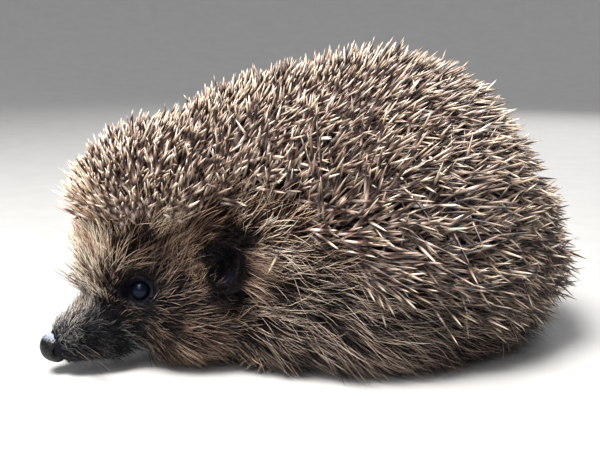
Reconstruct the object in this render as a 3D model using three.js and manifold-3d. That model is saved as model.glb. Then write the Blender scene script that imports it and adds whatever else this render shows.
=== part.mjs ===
// European hedgehog (Erinaceus europaeus), a still, life-size model.
// Millimetres, +Z up, head towards -Y, the animal's left side towards +X.
// Every solid reaches to the tips of the coat: quills on the crown and back,
// fur on the face, flanks and belly. The body is modelled whole, as one blend of
// rounded forms, and parted into named pieces with thin cuts.
// The forms are measured from a plane a little ahead of the body's middle. The last
// lines move the animal so that the origin is on the floor, below the middle of its box.

import * as THREE from 'three';
import { mergeVertices } from 'three/addons/utils/BufferGeometryUtils.js';
import Module from 'manifold-3d';

const wasm = await Module();
wasm.setup();

// ---- Driving dimensions ----------------------------------------------------

const BODY_HALF_WIDTH = 66;
const CUT = 0.3;
const LARGE = 400;

// Fillets where forms run into each other.
const BODY_BLEND = 14;
const HEAD_BLEND = 7;
const SKIRT_BLEND = 5;

// The coat's underside: a low skirt of hair round a belly that is held higher.
const SKIRT_CLEARANCE = 1.5;
const BELLY_RISE = 6;
const BELLY_CENTRE_Y = 14;
const BELLY_HALF_WIDTH = 44;
const BELLY_HALF_LENGTH = 82;
const BELLY_FLAT_PART = 0.55;
const BELLY_EDGE_PART = 1.05;

const NOSE = { centre: [0, -111.6, 10.8], radii: [5.6, 5.4, 5.6] };
const NOSTRIL = { centre: [4.6, -114, 10.4], radii: [2, 1.1, 1.8], turns: [0, 0, 40] };
const NOSE_GROOVE = { centre: [0, -117.3, 8.8], radii: [0.5, 0.9, 4] };

const EYE = { centre: [11.6, -79.4, 33.4], radius: 4.2 };
const EYE_DIP = { centre: [17.8, -80.4, 33.4], radii: [5.5, 7, 5.6], turns: [0, 0, -12] };

const EAR = { centre: [30, -51.5, 44], radii: [4.6, 8.6, 9.6], turns: [0, 14, 24] };
const EAR_BOWL = { centre: [33.4, -53.7, 44.4], radii: [4.4, 6.8, 7.6], turns: [0, 14, 24] };

// Where the body is parted: a point on each cut, and the cut's lean about X in degrees.
const SHOULDER_CUT = { place: [0, -30, 40], lean: -12 };
const NAPE_CUT = { place: [0, -47, 40], lean: -10 };
const FACE_CUT = { place: [0, -91, 17], lean: 24 };
const MOUTH_CUT = { place: [0, -110, 8.4], lean: 82 };

const TAIL_STOPS = [
  { at: [0, 80, 14], radius: 3.6 },
  { at: [0, 91, 6.5], radius: 3 },
  { at: [0, 101, 3.2], radius: 1.4 },
];

const FRONT_FOOT = {
  top: [20, -24, 20],
  ankle: [19, -24, 9],
  heel: [18.5, -24, 3.8],
  ball: [18.5, -33, 3.4],
  legRadius: 6.5,
  heelRadius: 4.8,
  ballRadius: 6,
  toeLength: 7.5,
  toeRadius: 2.1,
  toeSpread: 12,
  outward: 8,
};

const HIND_FOOT = {
  top: [33, 55, 22],
  ankle: [34, 59, 9],
  heel: [33.5, 62, 3.9],
  ball: [36, 40, 3.5],
  legRadius: 7,
  heelRadius: 4.9,
  ballRadius: 6.1,
  toeLength: 9,
  toeRadius: 2.2,
  toeSpread: 10,
  outward: 6,
};

const TOE_COUNT = 5;
const TOE_PITCH = 2.2;
const CLAW_LENGTH = 4.5;
const LEG_ROOM_HALF_WIDTH = 12.5;
const LEG_ROOM_HEIGHT = 12.5;

// How finely the rounded bodies are faceted.
const BODY_GRID = { ringCount: 22, sides: 30, crowding: 1 };
const HEAD_GRID = { ringCount: 19, sides: 24, crowding: 1.3 };
const COARSE = [12, 8];
const MIDDLING = [14, 9];
const SLIGHT = [8, 5];

// ---- Rounded forms of the coat's outline ------------------------------------
// Each form is an ellipsoid: its centre, its half sizes along X, Y and Z, and
// its lean about X in degrees. A positive lean lifts the end that faces the tail.

const BODY_FORMS = [
  { name: 'barrel', centre: [0, 21, 51], radii: [BODY_HALF_WIDTH, 69, 72], lean: -8 },
  { name: 'rump', centre: [0, 50, 41], radii: [58, 56.5, 52], lean: -16 },
  { name: 'withers', centre: [0, -20, 70], radii: [42, 48, 46], lean: 8 },
  { name: 'crown', centre: [0, -56, 72], radii: [35, 45, 27], lean: 8 },
  { name: 'chest', centre: [0, -32, 25], radii: [34, 34, 27], lean: 0 },
  { name: 'skirt', centre: [0, 18, 20], radii: [58, 71, 34], lean: 0 },
];

const HEAD_FORMS = [
  { name: 'muzzle_tip', centre: [0, -105, 12.6], radii: [6.4, 10, 7.2], lean: 18 },
  { name: 'muzzle', centre: [0, -92, 16.5], radii: [11.5, 20, 12], lean: 26 },
  { name: 'forehead', centre: [0, -80, 44], radii: [18, 19.5, 27], lean: 0 },
  { name: 'brow', centre: [0, -78, 63], radii: [25, 22, 15], lean: 0 },
  { name: 'cheeks', centre: [0, -61, 27.5], radii: [26, 26, 26], lean: 0 },
  { name: 'occiput', centre: [0, -56, 54], radii: [26, 26, 24], lean: 0 },
];

// ---- Fields: how far a point lies outside a form ------------------------------

/** About the distance from a point to an ellipsoid, negative inside it. */
function ellipsoidField(point, form) {
  const angle = THREE.MathUtils.degToRad(form.lean);
  const away = point.clone().sub(new THREE.Vector3(...form.centre));
  away.applyAxisAngle(new THREE.Vector3(1, 0, 0), -angle);
  const radii = new THREE.Vector3(...form.radii);
  const reach = away.clone().divide(radii);
  const slope = reach.clone().divide(radii).length();
  const ratio = reach.length();
  return slope > 0 ? (ratio * (ratio - 1)) / slope : -Math.min(...form.radii);
}

/** The smaller of two distances, with a rounded fillet where they cross. */
function smoothUnion(first, second, blend) {
  const nearness = Math.max(blend - Math.abs(first - second), 0) / blend;
  return Math.min(first, second) - (nearness * nearness * blend) / 4;
}

/** The field of several forms joined with fillets. */
function joinedField(point, forms, blend) {
  const distances = forms.map((form) => ellipsoidField(point, form));
  return distances.reduce((sum, next) => smoothUnion(sum, next, blend));
}

/** Height of the coat's underside: a low skirt round a raised belly. */
function undersideHeight(point) {
  const across = point.x / BELLY_HALF_WIDTH;
  const along = (point.y - BELLY_CENTRE_Y) / BELLY_HALF_LENGTH;
  const edge = THREE.MathUtils.smoothstep(Math.hypot(across, along), BELLY_FLAT_PART, BELLY_EDGE_PART);
  return SKIRT_CLEARANCE + BELLY_RISE * (1 - edge);
}

function bodyField(point) {
  const rounded = joinedField(point, BODY_FORMS, BODY_BLEND);
  const below = undersideHeight(point) - point.z;
  return -smoothUnion(-rounded, -below, SKIRT_BLEND);
}

function headField(point) {
  return joinedField(point, HEAD_FORMS, HEAD_BLEND);
}

// ---- Closed surfaces -----------------------------------------------------------

/** A closed mesh from rows of equal rings, with a single point at each end. */
function closedSkin(startPoint, rings, endPoint) {
  const points = [startPoint, ...rings.flat(), endPoint];
  const sides = rings[0].length;
  const last = points.length - 1;
  const faces = [];
  for (let side = 0; side < sides; side += 1) {
    const next = (side + 1) % sides;
    faces.push(0, 1 + side, 1 + next);
    for (let ring = 0; ring < rings.length - 1; ring += 1) {
      const low = 1 + ring * sides;
      const high = low + sides;
      faces.push(low + side, high + next, low + next);
      faces.push(low + side, high + side, high + next);
    }
    const rim = 1 + (rings.length - 1) * sides;
    faces.push(rim + side, last, rim + next);
  }
  const geometry = new THREE.BufferGeometry();
  const numbers = points.flatMap((point) => point.toArray());
  geometry.setAttribute('position', new THREE.Float32BufferAttribute(numbers, 3));
  geometry.setIndex(faces);
  return geometry;
}

/** Where a ray from a centre leaves a field for the last time. */
function surfacePoint(centre, direction, field, farthest) {
  const step = 1.5;
  const at = (distance) => centre.clone().addScaledVector(direction, distance);
  let inner = farthest;
  while (inner > step && field(at(inner)) > 0) {
    inner -= step;
  }
  let outer = inner + step;
  for (let pass = 0; pass < 20; pass += 1) {
    const middle = (inner + outer) / 2;
    if (field(at(middle)) > 0) {
      outer = middle;
    } else {
      inner = middle;
    }
  }
  return at(inner);
}

/** The surface of a field, seen from a centre, with its rings round a leaning pole. */
function fieldSkin(centre, lean, field, farthest, grid) {
  const middle = new THREE.Vector3(...centre);
  const axis = new THREE.Vector3(1, 0, 0);
  const angle = THREE.MathUtils.degToRad(lean);
  const shoot = (polar, turn) => {
    const direction = new THREE.Vector3(
      Math.sin(polar) * Math.cos(turn),
      -Math.cos(polar),
      Math.sin(polar) * Math.sin(turn),
    );
    return surfacePoint(middle, direction.applyAxisAngle(axis, angle), field, farthest);
  };
  const rings = [];
  for (let ring = 1; ring < grid.ringCount; ring += 1) {
    const polar = Math.PI * (ring / grid.ringCount) ** grid.crowding;
    const row = [];
    for (let side = 0; side < grid.sides; side += 1) {
      row.push(shoot(polar, (2 * Math.PI * side) / grid.sides));
    }
    rings.push(row);
  }
  return closedSkin(shoot(0, 0), rings, shoot(Math.PI, 0));
}

/** A ring of points round a path's tangent. */
function ringAround(centre, tangent, radius, sides) {
  const across = new THREE.Vector3(1, 0, 0).addScaledVector(tangent, -tangent.x).normalize();
  const upward = new THREE.Vector3().crossVectors(across, tangent);
  const row = [];
  for (let side = 0; side < sides; side += 1) {
    const turn = (2 * Math.PI * side) / sides;
    const point = centre.clone().addScaledVector(across, radius * Math.cos(turn));
    row.push(point.addScaledVector(upward, radius * Math.sin(turn)));
  }
  return row;
}

/** A round limb along a smooth path; each stop is a place and a radius. */
function limb(stops, ringCount, sides) {
  const endBulge = 0.6;
  const path = new THREE.CatmullRomCurve3(stops.map((stop) => new THREE.Vector3(...stop.at)));
  const lastStop = stops.length - 1;
  const rings = [];
  for (let ring = 0; ring <= ringCount; ring += 1) {
    const along = ring / ringCount;
    const stop = Math.min(Math.floor(along * lastStop), lastStop - 1);
    const share = along * lastStop - stop;
    const radius = THREE.MathUtils.lerp(stops[stop].radius, stops[stop + 1].radius, share);
    rings.push(ringAround(path.getPoint(along), path.getTangent(along), radius, sides));
  }
  const start = path.getPoint(0).addScaledVector(path.getTangent(0), -stops[0].radius * endBulge);
  const end = path.getPoint(1).addScaledVector(path.getTangent(1), stops[lastStop].radius * endBulge);
  return closedSkin(start, rings, end);
}

// ---- Joining and cutting --------------------------------------------------------

function solidOf(geometry) {
  const bare = geometry.clone();
  bare.deleteAttribute('normal');
  bare.deleteAttribute('uv');
  const merged = mergeVertices(bare, 1e-4);
  return new wasm.Manifold(new wasm.Mesh({
    numProp: 3,
    vertProperties: new Float32Array(merged.attributes.position.array),
    triVerts: new Uint32Array(merged.index.array),
  }));
}

function geometryOf(solid) {
  const mesh = solid.getMesh();
  const geometry = new THREE.BufferGeometry();
  geometry.setAttribute('position', new THREE.BufferAttribute(mesh.vertProperties, 3));
  geometry.setIndex(new THREE.BufferAttribute(mesh.triVerts, 1));
  geometry.computeVertexNormals();
  return geometry;
}

function limbSolid(stops, ringCount, sides) {
  return solidOf(limb(stops, ringCount, sides));
}

/** The same place or set of turns on the animal's left (1) or right (-1) side. */
function placeOn(side, place) {
  return [place[0] * side, place[1], place[2]];
}

function turnsOn(side, turns) {
  return [turns[0], turns[1] * side, turns[2] * side];
}

/** An ellipsoid as a solid, widened by a gap; its turns are degrees about X, Y and Z. */
function ellipsoid(form, side, fineness, gap = 0) {
  const geometry = new THREE.SphereGeometry(1, ...fineness);
  geometry.scale(...form.radii.map((radius) => radius + gap));
  const turns = turnsOn(side, form.turns ?? [0, 0, 0]);
  const angles = turns.map((turn) => THREE.MathUtils.degToRad(turn));
  geometry.applyMatrix4(new THREE.Matrix4().makeRotationFromEuler(new THREE.Euler(...angles)));
  geometry.translate(...placeOn(side, form.centre));
  return solidOf(geometry);
}

/** A block whose front face passes through a place and leans about X. */
function halfSpaceBehind(place, lean) {
  const geometry = new THREE.BoxGeometry(LARGE, LARGE, LARGE);
  geometry.translate(0, LARGE / 2, 0);
  geometry.rotateX(THREE.MathUtils.degToRad(lean));
  geometry.translate(...place);
  return solidOf(geometry);
}

/** Parts a solid in two at a leaning plane, leaving a thin gap. */
function parted(solid, cut) {
  const angle = THREE.MathUtils.degToRad(cut.lean);
  const beyond = [
    cut.place[0],
    cut.place[1] + CUT * Math.cos(angle),
    cut.place[2] + CUT * Math.sin(angle),
  ];
  return {
    front: solid.subtract(halfSpaceBehind(cut.place, cut.lean)),
    back: solid.intersect(halfSpaceBehind(beyond, cut.lean)),
  };
}

/** The largest body of a solid, without crumbs left by a cut. */
function mainBody(solid) {
  const bodies = solid.decompose();
  return bodies.reduce((best, next) => (next.volume() > best.volume() ? next : best));
}

// ---- Legs and feet ----------------------------------------------------------------

/** A toe and its claw, fanned out round the ball of the foot. */
function toe(foot, side, index) {
  const fan = index - (TOE_COUNT - 1) / 2;
  const heading = THREE.MathUtils.degToRad(fan * foot.toeSpread + foot.outward);
  const length = foot.toeLength - Math.abs(fan) * 1.1;
  const rootX = foot.ball[0] + fan * TOE_PITCH;
  const rootY = foot.ball[1] + Math.abs(fan) * 0.9;
  const along = (distance, height) => placeOn(side, [
    rootX + Math.sin(heading) * distance,
    rootY - Math.cos(heading) * distance,
    height,
  ]);
  const pad = limbSolid([
    { at: along(0, foot.toeRadius + 0.6), radius: foot.toeRadius },
    { at: along(length * 0.6, foot.toeRadius + 0.5), radius: foot.toeRadius },
    { at: along(length, foot.toeRadius - 0.1), radius: foot.toeRadius * 0.8 },
  ], 2, 6);
  const claw = limbSolid([
    { at: along(length, foot.toeRadius + 0.4), radius: 0.9 },
    { at: along(length + CLAW_LENGTH, 0.9), radius: 0.4 },
  ], 1, 4);
  return pad.add(claw);
}

/** A leg: the shank in the belly fur, a sole that rests flat, toes and claws. */
function leg(foot, side) {
  const shank = limbSolid([
    { at: placeOn(side, foot.top), radius: foot.legRadius },
    { at: placeOn(side, foot.ankle), radius: foot.legRadius * 0.8 },
    { at: placeOn(side, foot.heel), radius: foot.heelRadius },
  ], 2, 8);
  const sole = limbSolid([
    { at: placeOn(side, foot.heel), radius: foot.heelRadius },
    { at: placeOn(side, foot.ball), radius: foot.ballRadius },
  ], 1, 10);
  let whole = shank.add(sole);
  for (let index = 0; index < TOE_COUNT; index += 1) {
    whole = whole.add(toe(foot, side, index));
  }
  const aboveFloor = solidOf(new THREE.BoxGeometry(LARGE, LARGE, LARGE).translate(0, 0, LARGE / 2));
  return whole.intersect(aboveFloor);
}

/** The room that the fur leaves round a leg and foot. */
function legRoom(foot, side) {
  const radius = foot.legRadius + CUT + 0.2;
  const shaft = limbSolid([
    { at: placeOn(side, foot.top), radius },
    { at: placeOn(side, foot.ankle), radius },
    { at: placeOn(side, foot.heel), radius },
  ], 2, 8);
  const toeReach = foot.toeLength + CLAW_LENGTH + 1.5;
  const length = foot.heel[1] - foot.ball[1] + toeReach;
  const hollow = {
    centre: [foot.ball[0], foot.heel[1] - length / 2, 0],
    radii: [LEG_ROOM_HALF_WIDTH, length / 2 + foot.heelRadius, LEG_ROOM_HEIGHT],
  };
  return shaft.add(ellipsoid(hollow, side, COARSE));
}

// ---- Small parts of the head ---------------------------------------------------

/** The bare nose pad, with a nostril on each side and a groove between them. */
function nosePad() {
  let pad = ellipsoid(NOSE, 1, MIDDLING);
  pad = pad.subtract(ellipsoid(NOSTRIL, 1, SLIGHT)).subtract(ellipsoid(NOSTRIL, -1, SLIGHT));
  return pad.subtract(ellipsoid(NOSE_GROOVE, 1, SLIGHT));
}

/** A short round ear: a bowl that opens forwards and out. */
function ear(side) {
  return ellipsoid(EAR, side, MIDDLING).subtract(ellipsoid(EAR_BOWL, side, COARSE));
}

function eyeball(side, gap = 0) {
  const radii = [EYE.radius, EYE.radius, EYE.radius];
  return ellipsoid({ centre: EYE.centre, radii }, side, COARSE, gap);
}

// ---- The whole body, parted -------------------------------------------------------

const bodySolid = solidOf(fieldSkin([0, 2, 52], 0, bodyField, 150, BODY_GRID));
const headSolid = solidOf(fieldSkin([0, -68, 31], 24, headField, 70, HEAD_GRID));
const tailRoomStops = TAIL_STOPS.map((stop) => ({ at: stop.at, radius: stop.radius + CUT }));

let whole = bodySolid.add(headSolid);
whole = whole.subtract(limbSolid(tailRoomStops, 4, 10));
whole = whole.subtract(ellipsoid(NOSE, 1, MIDDLING, CUT));
for (const side of [-1, 1]) {
  whole = whole.subtract(legRoom(FRONT_FOOT, side));
  whole = whole.subtract(legRoom(HIND_FOOT, side));
  whole = whole.subtract(eyeball(side, CUT));
  whole = whole.subtract(ellipsoid(EYE_DIP, side, COARSE));
  whole = whole.subtract(ellipsoid(EAR, side, MIDDLING, CUT));
}

const atShoulders = parted(whole, SHOULDER_CUT);
const atNape = parted(atShoulders.front, NAPE_CUT);
const atFace = parted(atNape.front, FACE_CUT);
const atMouth = parted(atFace.front, MOUTH_CUT);

// ---- Finishes and the named pieces -------------------------------------------------

function finish(color, roughness) {
  return new THREE.MeshStandardMaterial({ color, roughness, metalness: 0 });
}

const QUILLED = finish(0x8c7b6c, 0.75);
const FURRED = finish(0x4a3d36, 0.9);
const FACE_FUR = finish(0x5c4c43, 0.9);
const BARE_SKIN = finish(0x4a3f3c, 0.7);
const NOSE_LEATHER = finish(0x1c1a1b, 0.25);
const EYE_GLOSS = finish(0x0b0a0c, 0.05);

const hedgehog = new THREE.Group();

function addPiece(name, solid, material) {
  const mesh = new THREE.Mesh(geometryOf(mainBody(solid)), material.clone());
  mesh.name = name;
  hedgehog.add(mesh);
}

addPiece('nose', nosePad(), NOSE_LEATHER);
addPiece('snout', atMouth.back, FACE_FUR);
addPiece('jaw', atMouth.front, FACE_FUR);
addPiece('head', atFace.back, FACE_FUR);
addPiece('neck', atNape.back, QUILLED);
addPiece('trunk', atShoulders.back, QUILLED);
addPiece('tail', limbSolid(TAIL_STOPS, 4, 10), BARE_SKIN);
for (const [word, side] of [['left', 1], ['right', -1]]) {
  addPiece(`eye_${word}`, eyeball(side), EYE_GLOSS);
  addPiece(`ear_${word}`, ear(side), BARE_SKIN);
  addPiece(`foreleg_${word}`, leg(FRONT_FOOT, side), FURRED);
  addPiece(`hindleg_${word}`, leg(HIND_FOOT, side), FURRED);
}

const box = new THREE.Box3().setFromObject(hedgehog);
hedgehog.position.y = -(box.min.y + box.max.y) / 2;

export default hedgehog;
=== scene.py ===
"""A European hedgehog as a still, life-size museum model: one skin, eyes, nose, claws,
whiskers, and a coat of solid quills and hairs rooted all over the skin.

Lengths in this file are millimetres, turned to metres as each mesh is made. A place on
the animal is given as how far it lies to the left, behind the nose tip and above the floor.
"""

import math

import bpy
import numpy as np
from mathutils import Matrix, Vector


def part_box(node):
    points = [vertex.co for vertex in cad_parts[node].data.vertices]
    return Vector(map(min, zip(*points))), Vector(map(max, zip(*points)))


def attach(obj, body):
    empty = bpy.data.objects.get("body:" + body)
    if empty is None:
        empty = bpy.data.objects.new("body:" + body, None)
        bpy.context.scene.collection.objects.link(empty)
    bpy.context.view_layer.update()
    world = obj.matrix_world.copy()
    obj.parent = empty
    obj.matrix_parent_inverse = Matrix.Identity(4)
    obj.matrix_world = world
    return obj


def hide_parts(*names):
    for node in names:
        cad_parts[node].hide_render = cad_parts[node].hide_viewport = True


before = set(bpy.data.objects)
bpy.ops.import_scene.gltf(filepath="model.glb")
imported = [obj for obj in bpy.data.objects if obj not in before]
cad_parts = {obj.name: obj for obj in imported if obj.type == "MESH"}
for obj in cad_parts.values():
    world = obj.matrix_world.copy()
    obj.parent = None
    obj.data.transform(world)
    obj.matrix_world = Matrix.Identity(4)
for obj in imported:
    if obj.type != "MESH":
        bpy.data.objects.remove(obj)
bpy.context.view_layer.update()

MM = 0.001
NOSE_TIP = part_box("nose")[0][1] / MM
FLOOR_CLEARANCE = 0.5
LEFT, RIGHT = 1, -1


# ---- Small tools ---------------------------------------------------------------


def at(side, back, height):
    """A place in the frame: left of the middle, behind the nose tip, above the floor."""
    return np.array([side, NOSE_TIP + back, height], float)


def unit(vectors):
    """Vectors divided by their lengths."""
    lengths = np.linalg.norm(vectors, axis=-1, keepdims=True)
    return vectors / np.maximum(lengths, 1e-12)


def dot(first, second):
    """Products of vectors along the last axis, kept as a column."""
    return (first * second).sum(-1, keepdims=True)


def smoothstep(low, high, values):
    """0 below low, 1 above high, and 3 t^2 - 2 t^3 between them."""
    share = np.clip((values - low) / (high - low), 0, 1)
    return share * share * (3 - 2 * share)


def smooth_union(first, second, blend):
    """The smaller of two distances, less h^2 blend / 4 where they are within blend."""
    nearness = np.maximum(blend - np.abs(first - second), 0) / blend
    return np.minimum(first, second) - nearness * nearness * blend / 4


def bell(distance, width):
    """A bell of height 1: e to the minus (distance / width) squared."""
    return np.exp(-((distance / width) ** 2))


def ripple(points, size, seed, waves=7):
    """Smooth noise of about unit spread: a sum of sines in random directions, with
    wavelengths of about the given size."""
    rng = np.random.default_rng(seed)
    turns = rng.uniform(0.7, 1.4, (waves, 1)) * 2 * math.pi / size
    directions = unit(rng.normal(size=(waves, 3))) * turns
    phases = rng.uniform(0, 2 * math.pi, waves)
    return np.sin(points @ directions.T + phases).sum(-1) / math.sqrt(waves / 2)


def turned_about(vectors, axes, angles):
    """Vectors square to unit axes, turned about them: v cos + (axis x v) sin."""
    return vectors * np.cos(angles)[..., None] + np.cross(axes, vectors) * np.sin(angles)[..., None]


def mirrored(vector, side):
    """A vector on the animal's left, carried to a side."""
    return np.array(vector, float) * [side, 1, 1]


def on_left(points):
    """Points with those on the animal's right carried to its left."""
    folded = points.copy()
    folded[..., 0] = np.abs(folded[..., 0])
    return folded


def round_turn(count):
    """Angles spread evenly over a whole turn."""
    return 2 * math.pi * np.arange(count) / count


def gathered(parts):
    """Dictionaries of arrays joined into one, key by key."""
    return {key: np.concatenate([part[key] for part in parts]) for key in parts[0]}


# ---- The coat's outline, as a field ---------------------------------------------
# Each form is an ellipsoid: how far its centre lies behind the nose tip and above the
# floor, its half sizes, and its lean in degrees, positive where the tail end is lifted.

BODY_FORMS = [
    (138, 51, (66, 69, 72), -8),  # barrel
    (167, 41, (58, 56.5, 52), -16),  # rump
    (97, 70, (42, 48, 46), 8),  # withers
    (61, 72, (35, 45, 27), 8),  # crown
    (85, 25, (34, 34, 27), 0),  # chest
    (135, 20, (58, 71, 34), 0),  # skirt
]
HEAD_FORMS = [
    (12, 12.6, (6.4, 10, 7.2), 18),  # tip of the muzzle
    (25, 16.5, (11.5, 20, 12), 26),  # muzzle
    (37, 44, (18, 19.5, 27), 0),  # forehead
    (39, 63, (25, 22, 15), 0),  # brow
    (56, 27.5, (26, 26, 26), 0),  # cheeks
    (61, 54, (26, 26, 24), 0),  # back of the skull
]
BODY_BLEND = 14
HEAD_BLEND = 7
NECK_BLEND = 8
SKIRT_BLEND = 5
SKIRT_CLEARANCE = 1.5
BELLY_RISE = 6
BELLY_CENTRE = 131
BELLY_HALF_SIZE = (44, 82)
BELLY_EDGE = (0.55, 1.05)
SLOPE_STEP = 1.5
OVERHANG_HEIGHTS = (28, 44)
OVERHANG_LEVELLED = 0.85


def form_field(points, form):
    """About the distance outside an ellipsoid: k (k - 1) / |k's slope|, with k the
    distance from its centre in half sizes."""
    back, height, radii, lean = form
    away = points - at(0, back, height)
    cos, sin = math.cos(math.radians(lean)), math.sin(math.radians(lean))
    along = away[..., 1] * cos + away[..., 2] * sin
    upward = away[..., 2] * cos - away[..., 1] * sin
    reach = np.stack([away[..., 0], along, upward], -1) / radii
    ratio = np.linalg.norm(reach, axis=-1)
    slope = np.linalg.norm(reach / radii, axis=-1)
    return ratio * (ratio - 1) / np.maximum(slope, 1e-9)


def joined_field(points, forms, blend):
    """The field of several forms joined with fillets."""
    field = form_field(points, forms[0])
    for form in forms[1:]:
        field = smooth_union(field, form_field(points, form), blend)
    return field


def coat_field(points):
    """The distance outside the coat's outline: the body, kept above a low skirt round a
    raised belly, joined to the head."""
    across = points[..., 0] / BELLY_HALF_SIZE[0]
    along = (points[..., 1] - NOSE_TIP - BELLY_CENTRE) / BELLY_HALF_SIZE[1]
    edge = smoothstep(*BELLY_EDGE, np.hypot(across, along))
    below = SKIRT_CLEARANCE + BELLY_RISE * (1 - edge) - points[..., 2]
    body = -smooth_union(-joined_field(points, BODY_FORMS, BODY_BLEND), -below, SKIRT_BLEND)
    return smooth_union(joined_field(points, HEAD_FORMS, HEAD_BLEND), body, NECK_BLEND)


def outline_normals(points):
    """The way out of the coat's outline: the slope of its field, from its differences
    over a small step each way. Under the brow it is turned level, so that the coat
    bridges the hollow there."""
    steps = SLOPE_STEP * np.eye(3)
    normals = unit(np.stack([coat_field(points + step) - coat_field(points - step) for step in steps], -1))
    upward = normals[..., 2]
    levelled = 1 - OVERHANG_LEVELLED * smoothstep(*OVERHANG_HEIGHTS, points[..., 2])
    normals[..., 2] = np.where(upward < 0, upward * levelled, upward)
    return unit(normals)


# ---- The lie of the coat ----------------------------------------------------------
# What the coat is like at places on the animal's left. Each row holds the place (left,
# behind the nose, height), the way the coat lies (left, back, up), its lift off the skin
# in degrees, its length, its depth over the skin, 1 for quills or -1 for hair, and its
# shade from 0, black, to 1, cream. Everywhere else is a blend of the rows round about.

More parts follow.
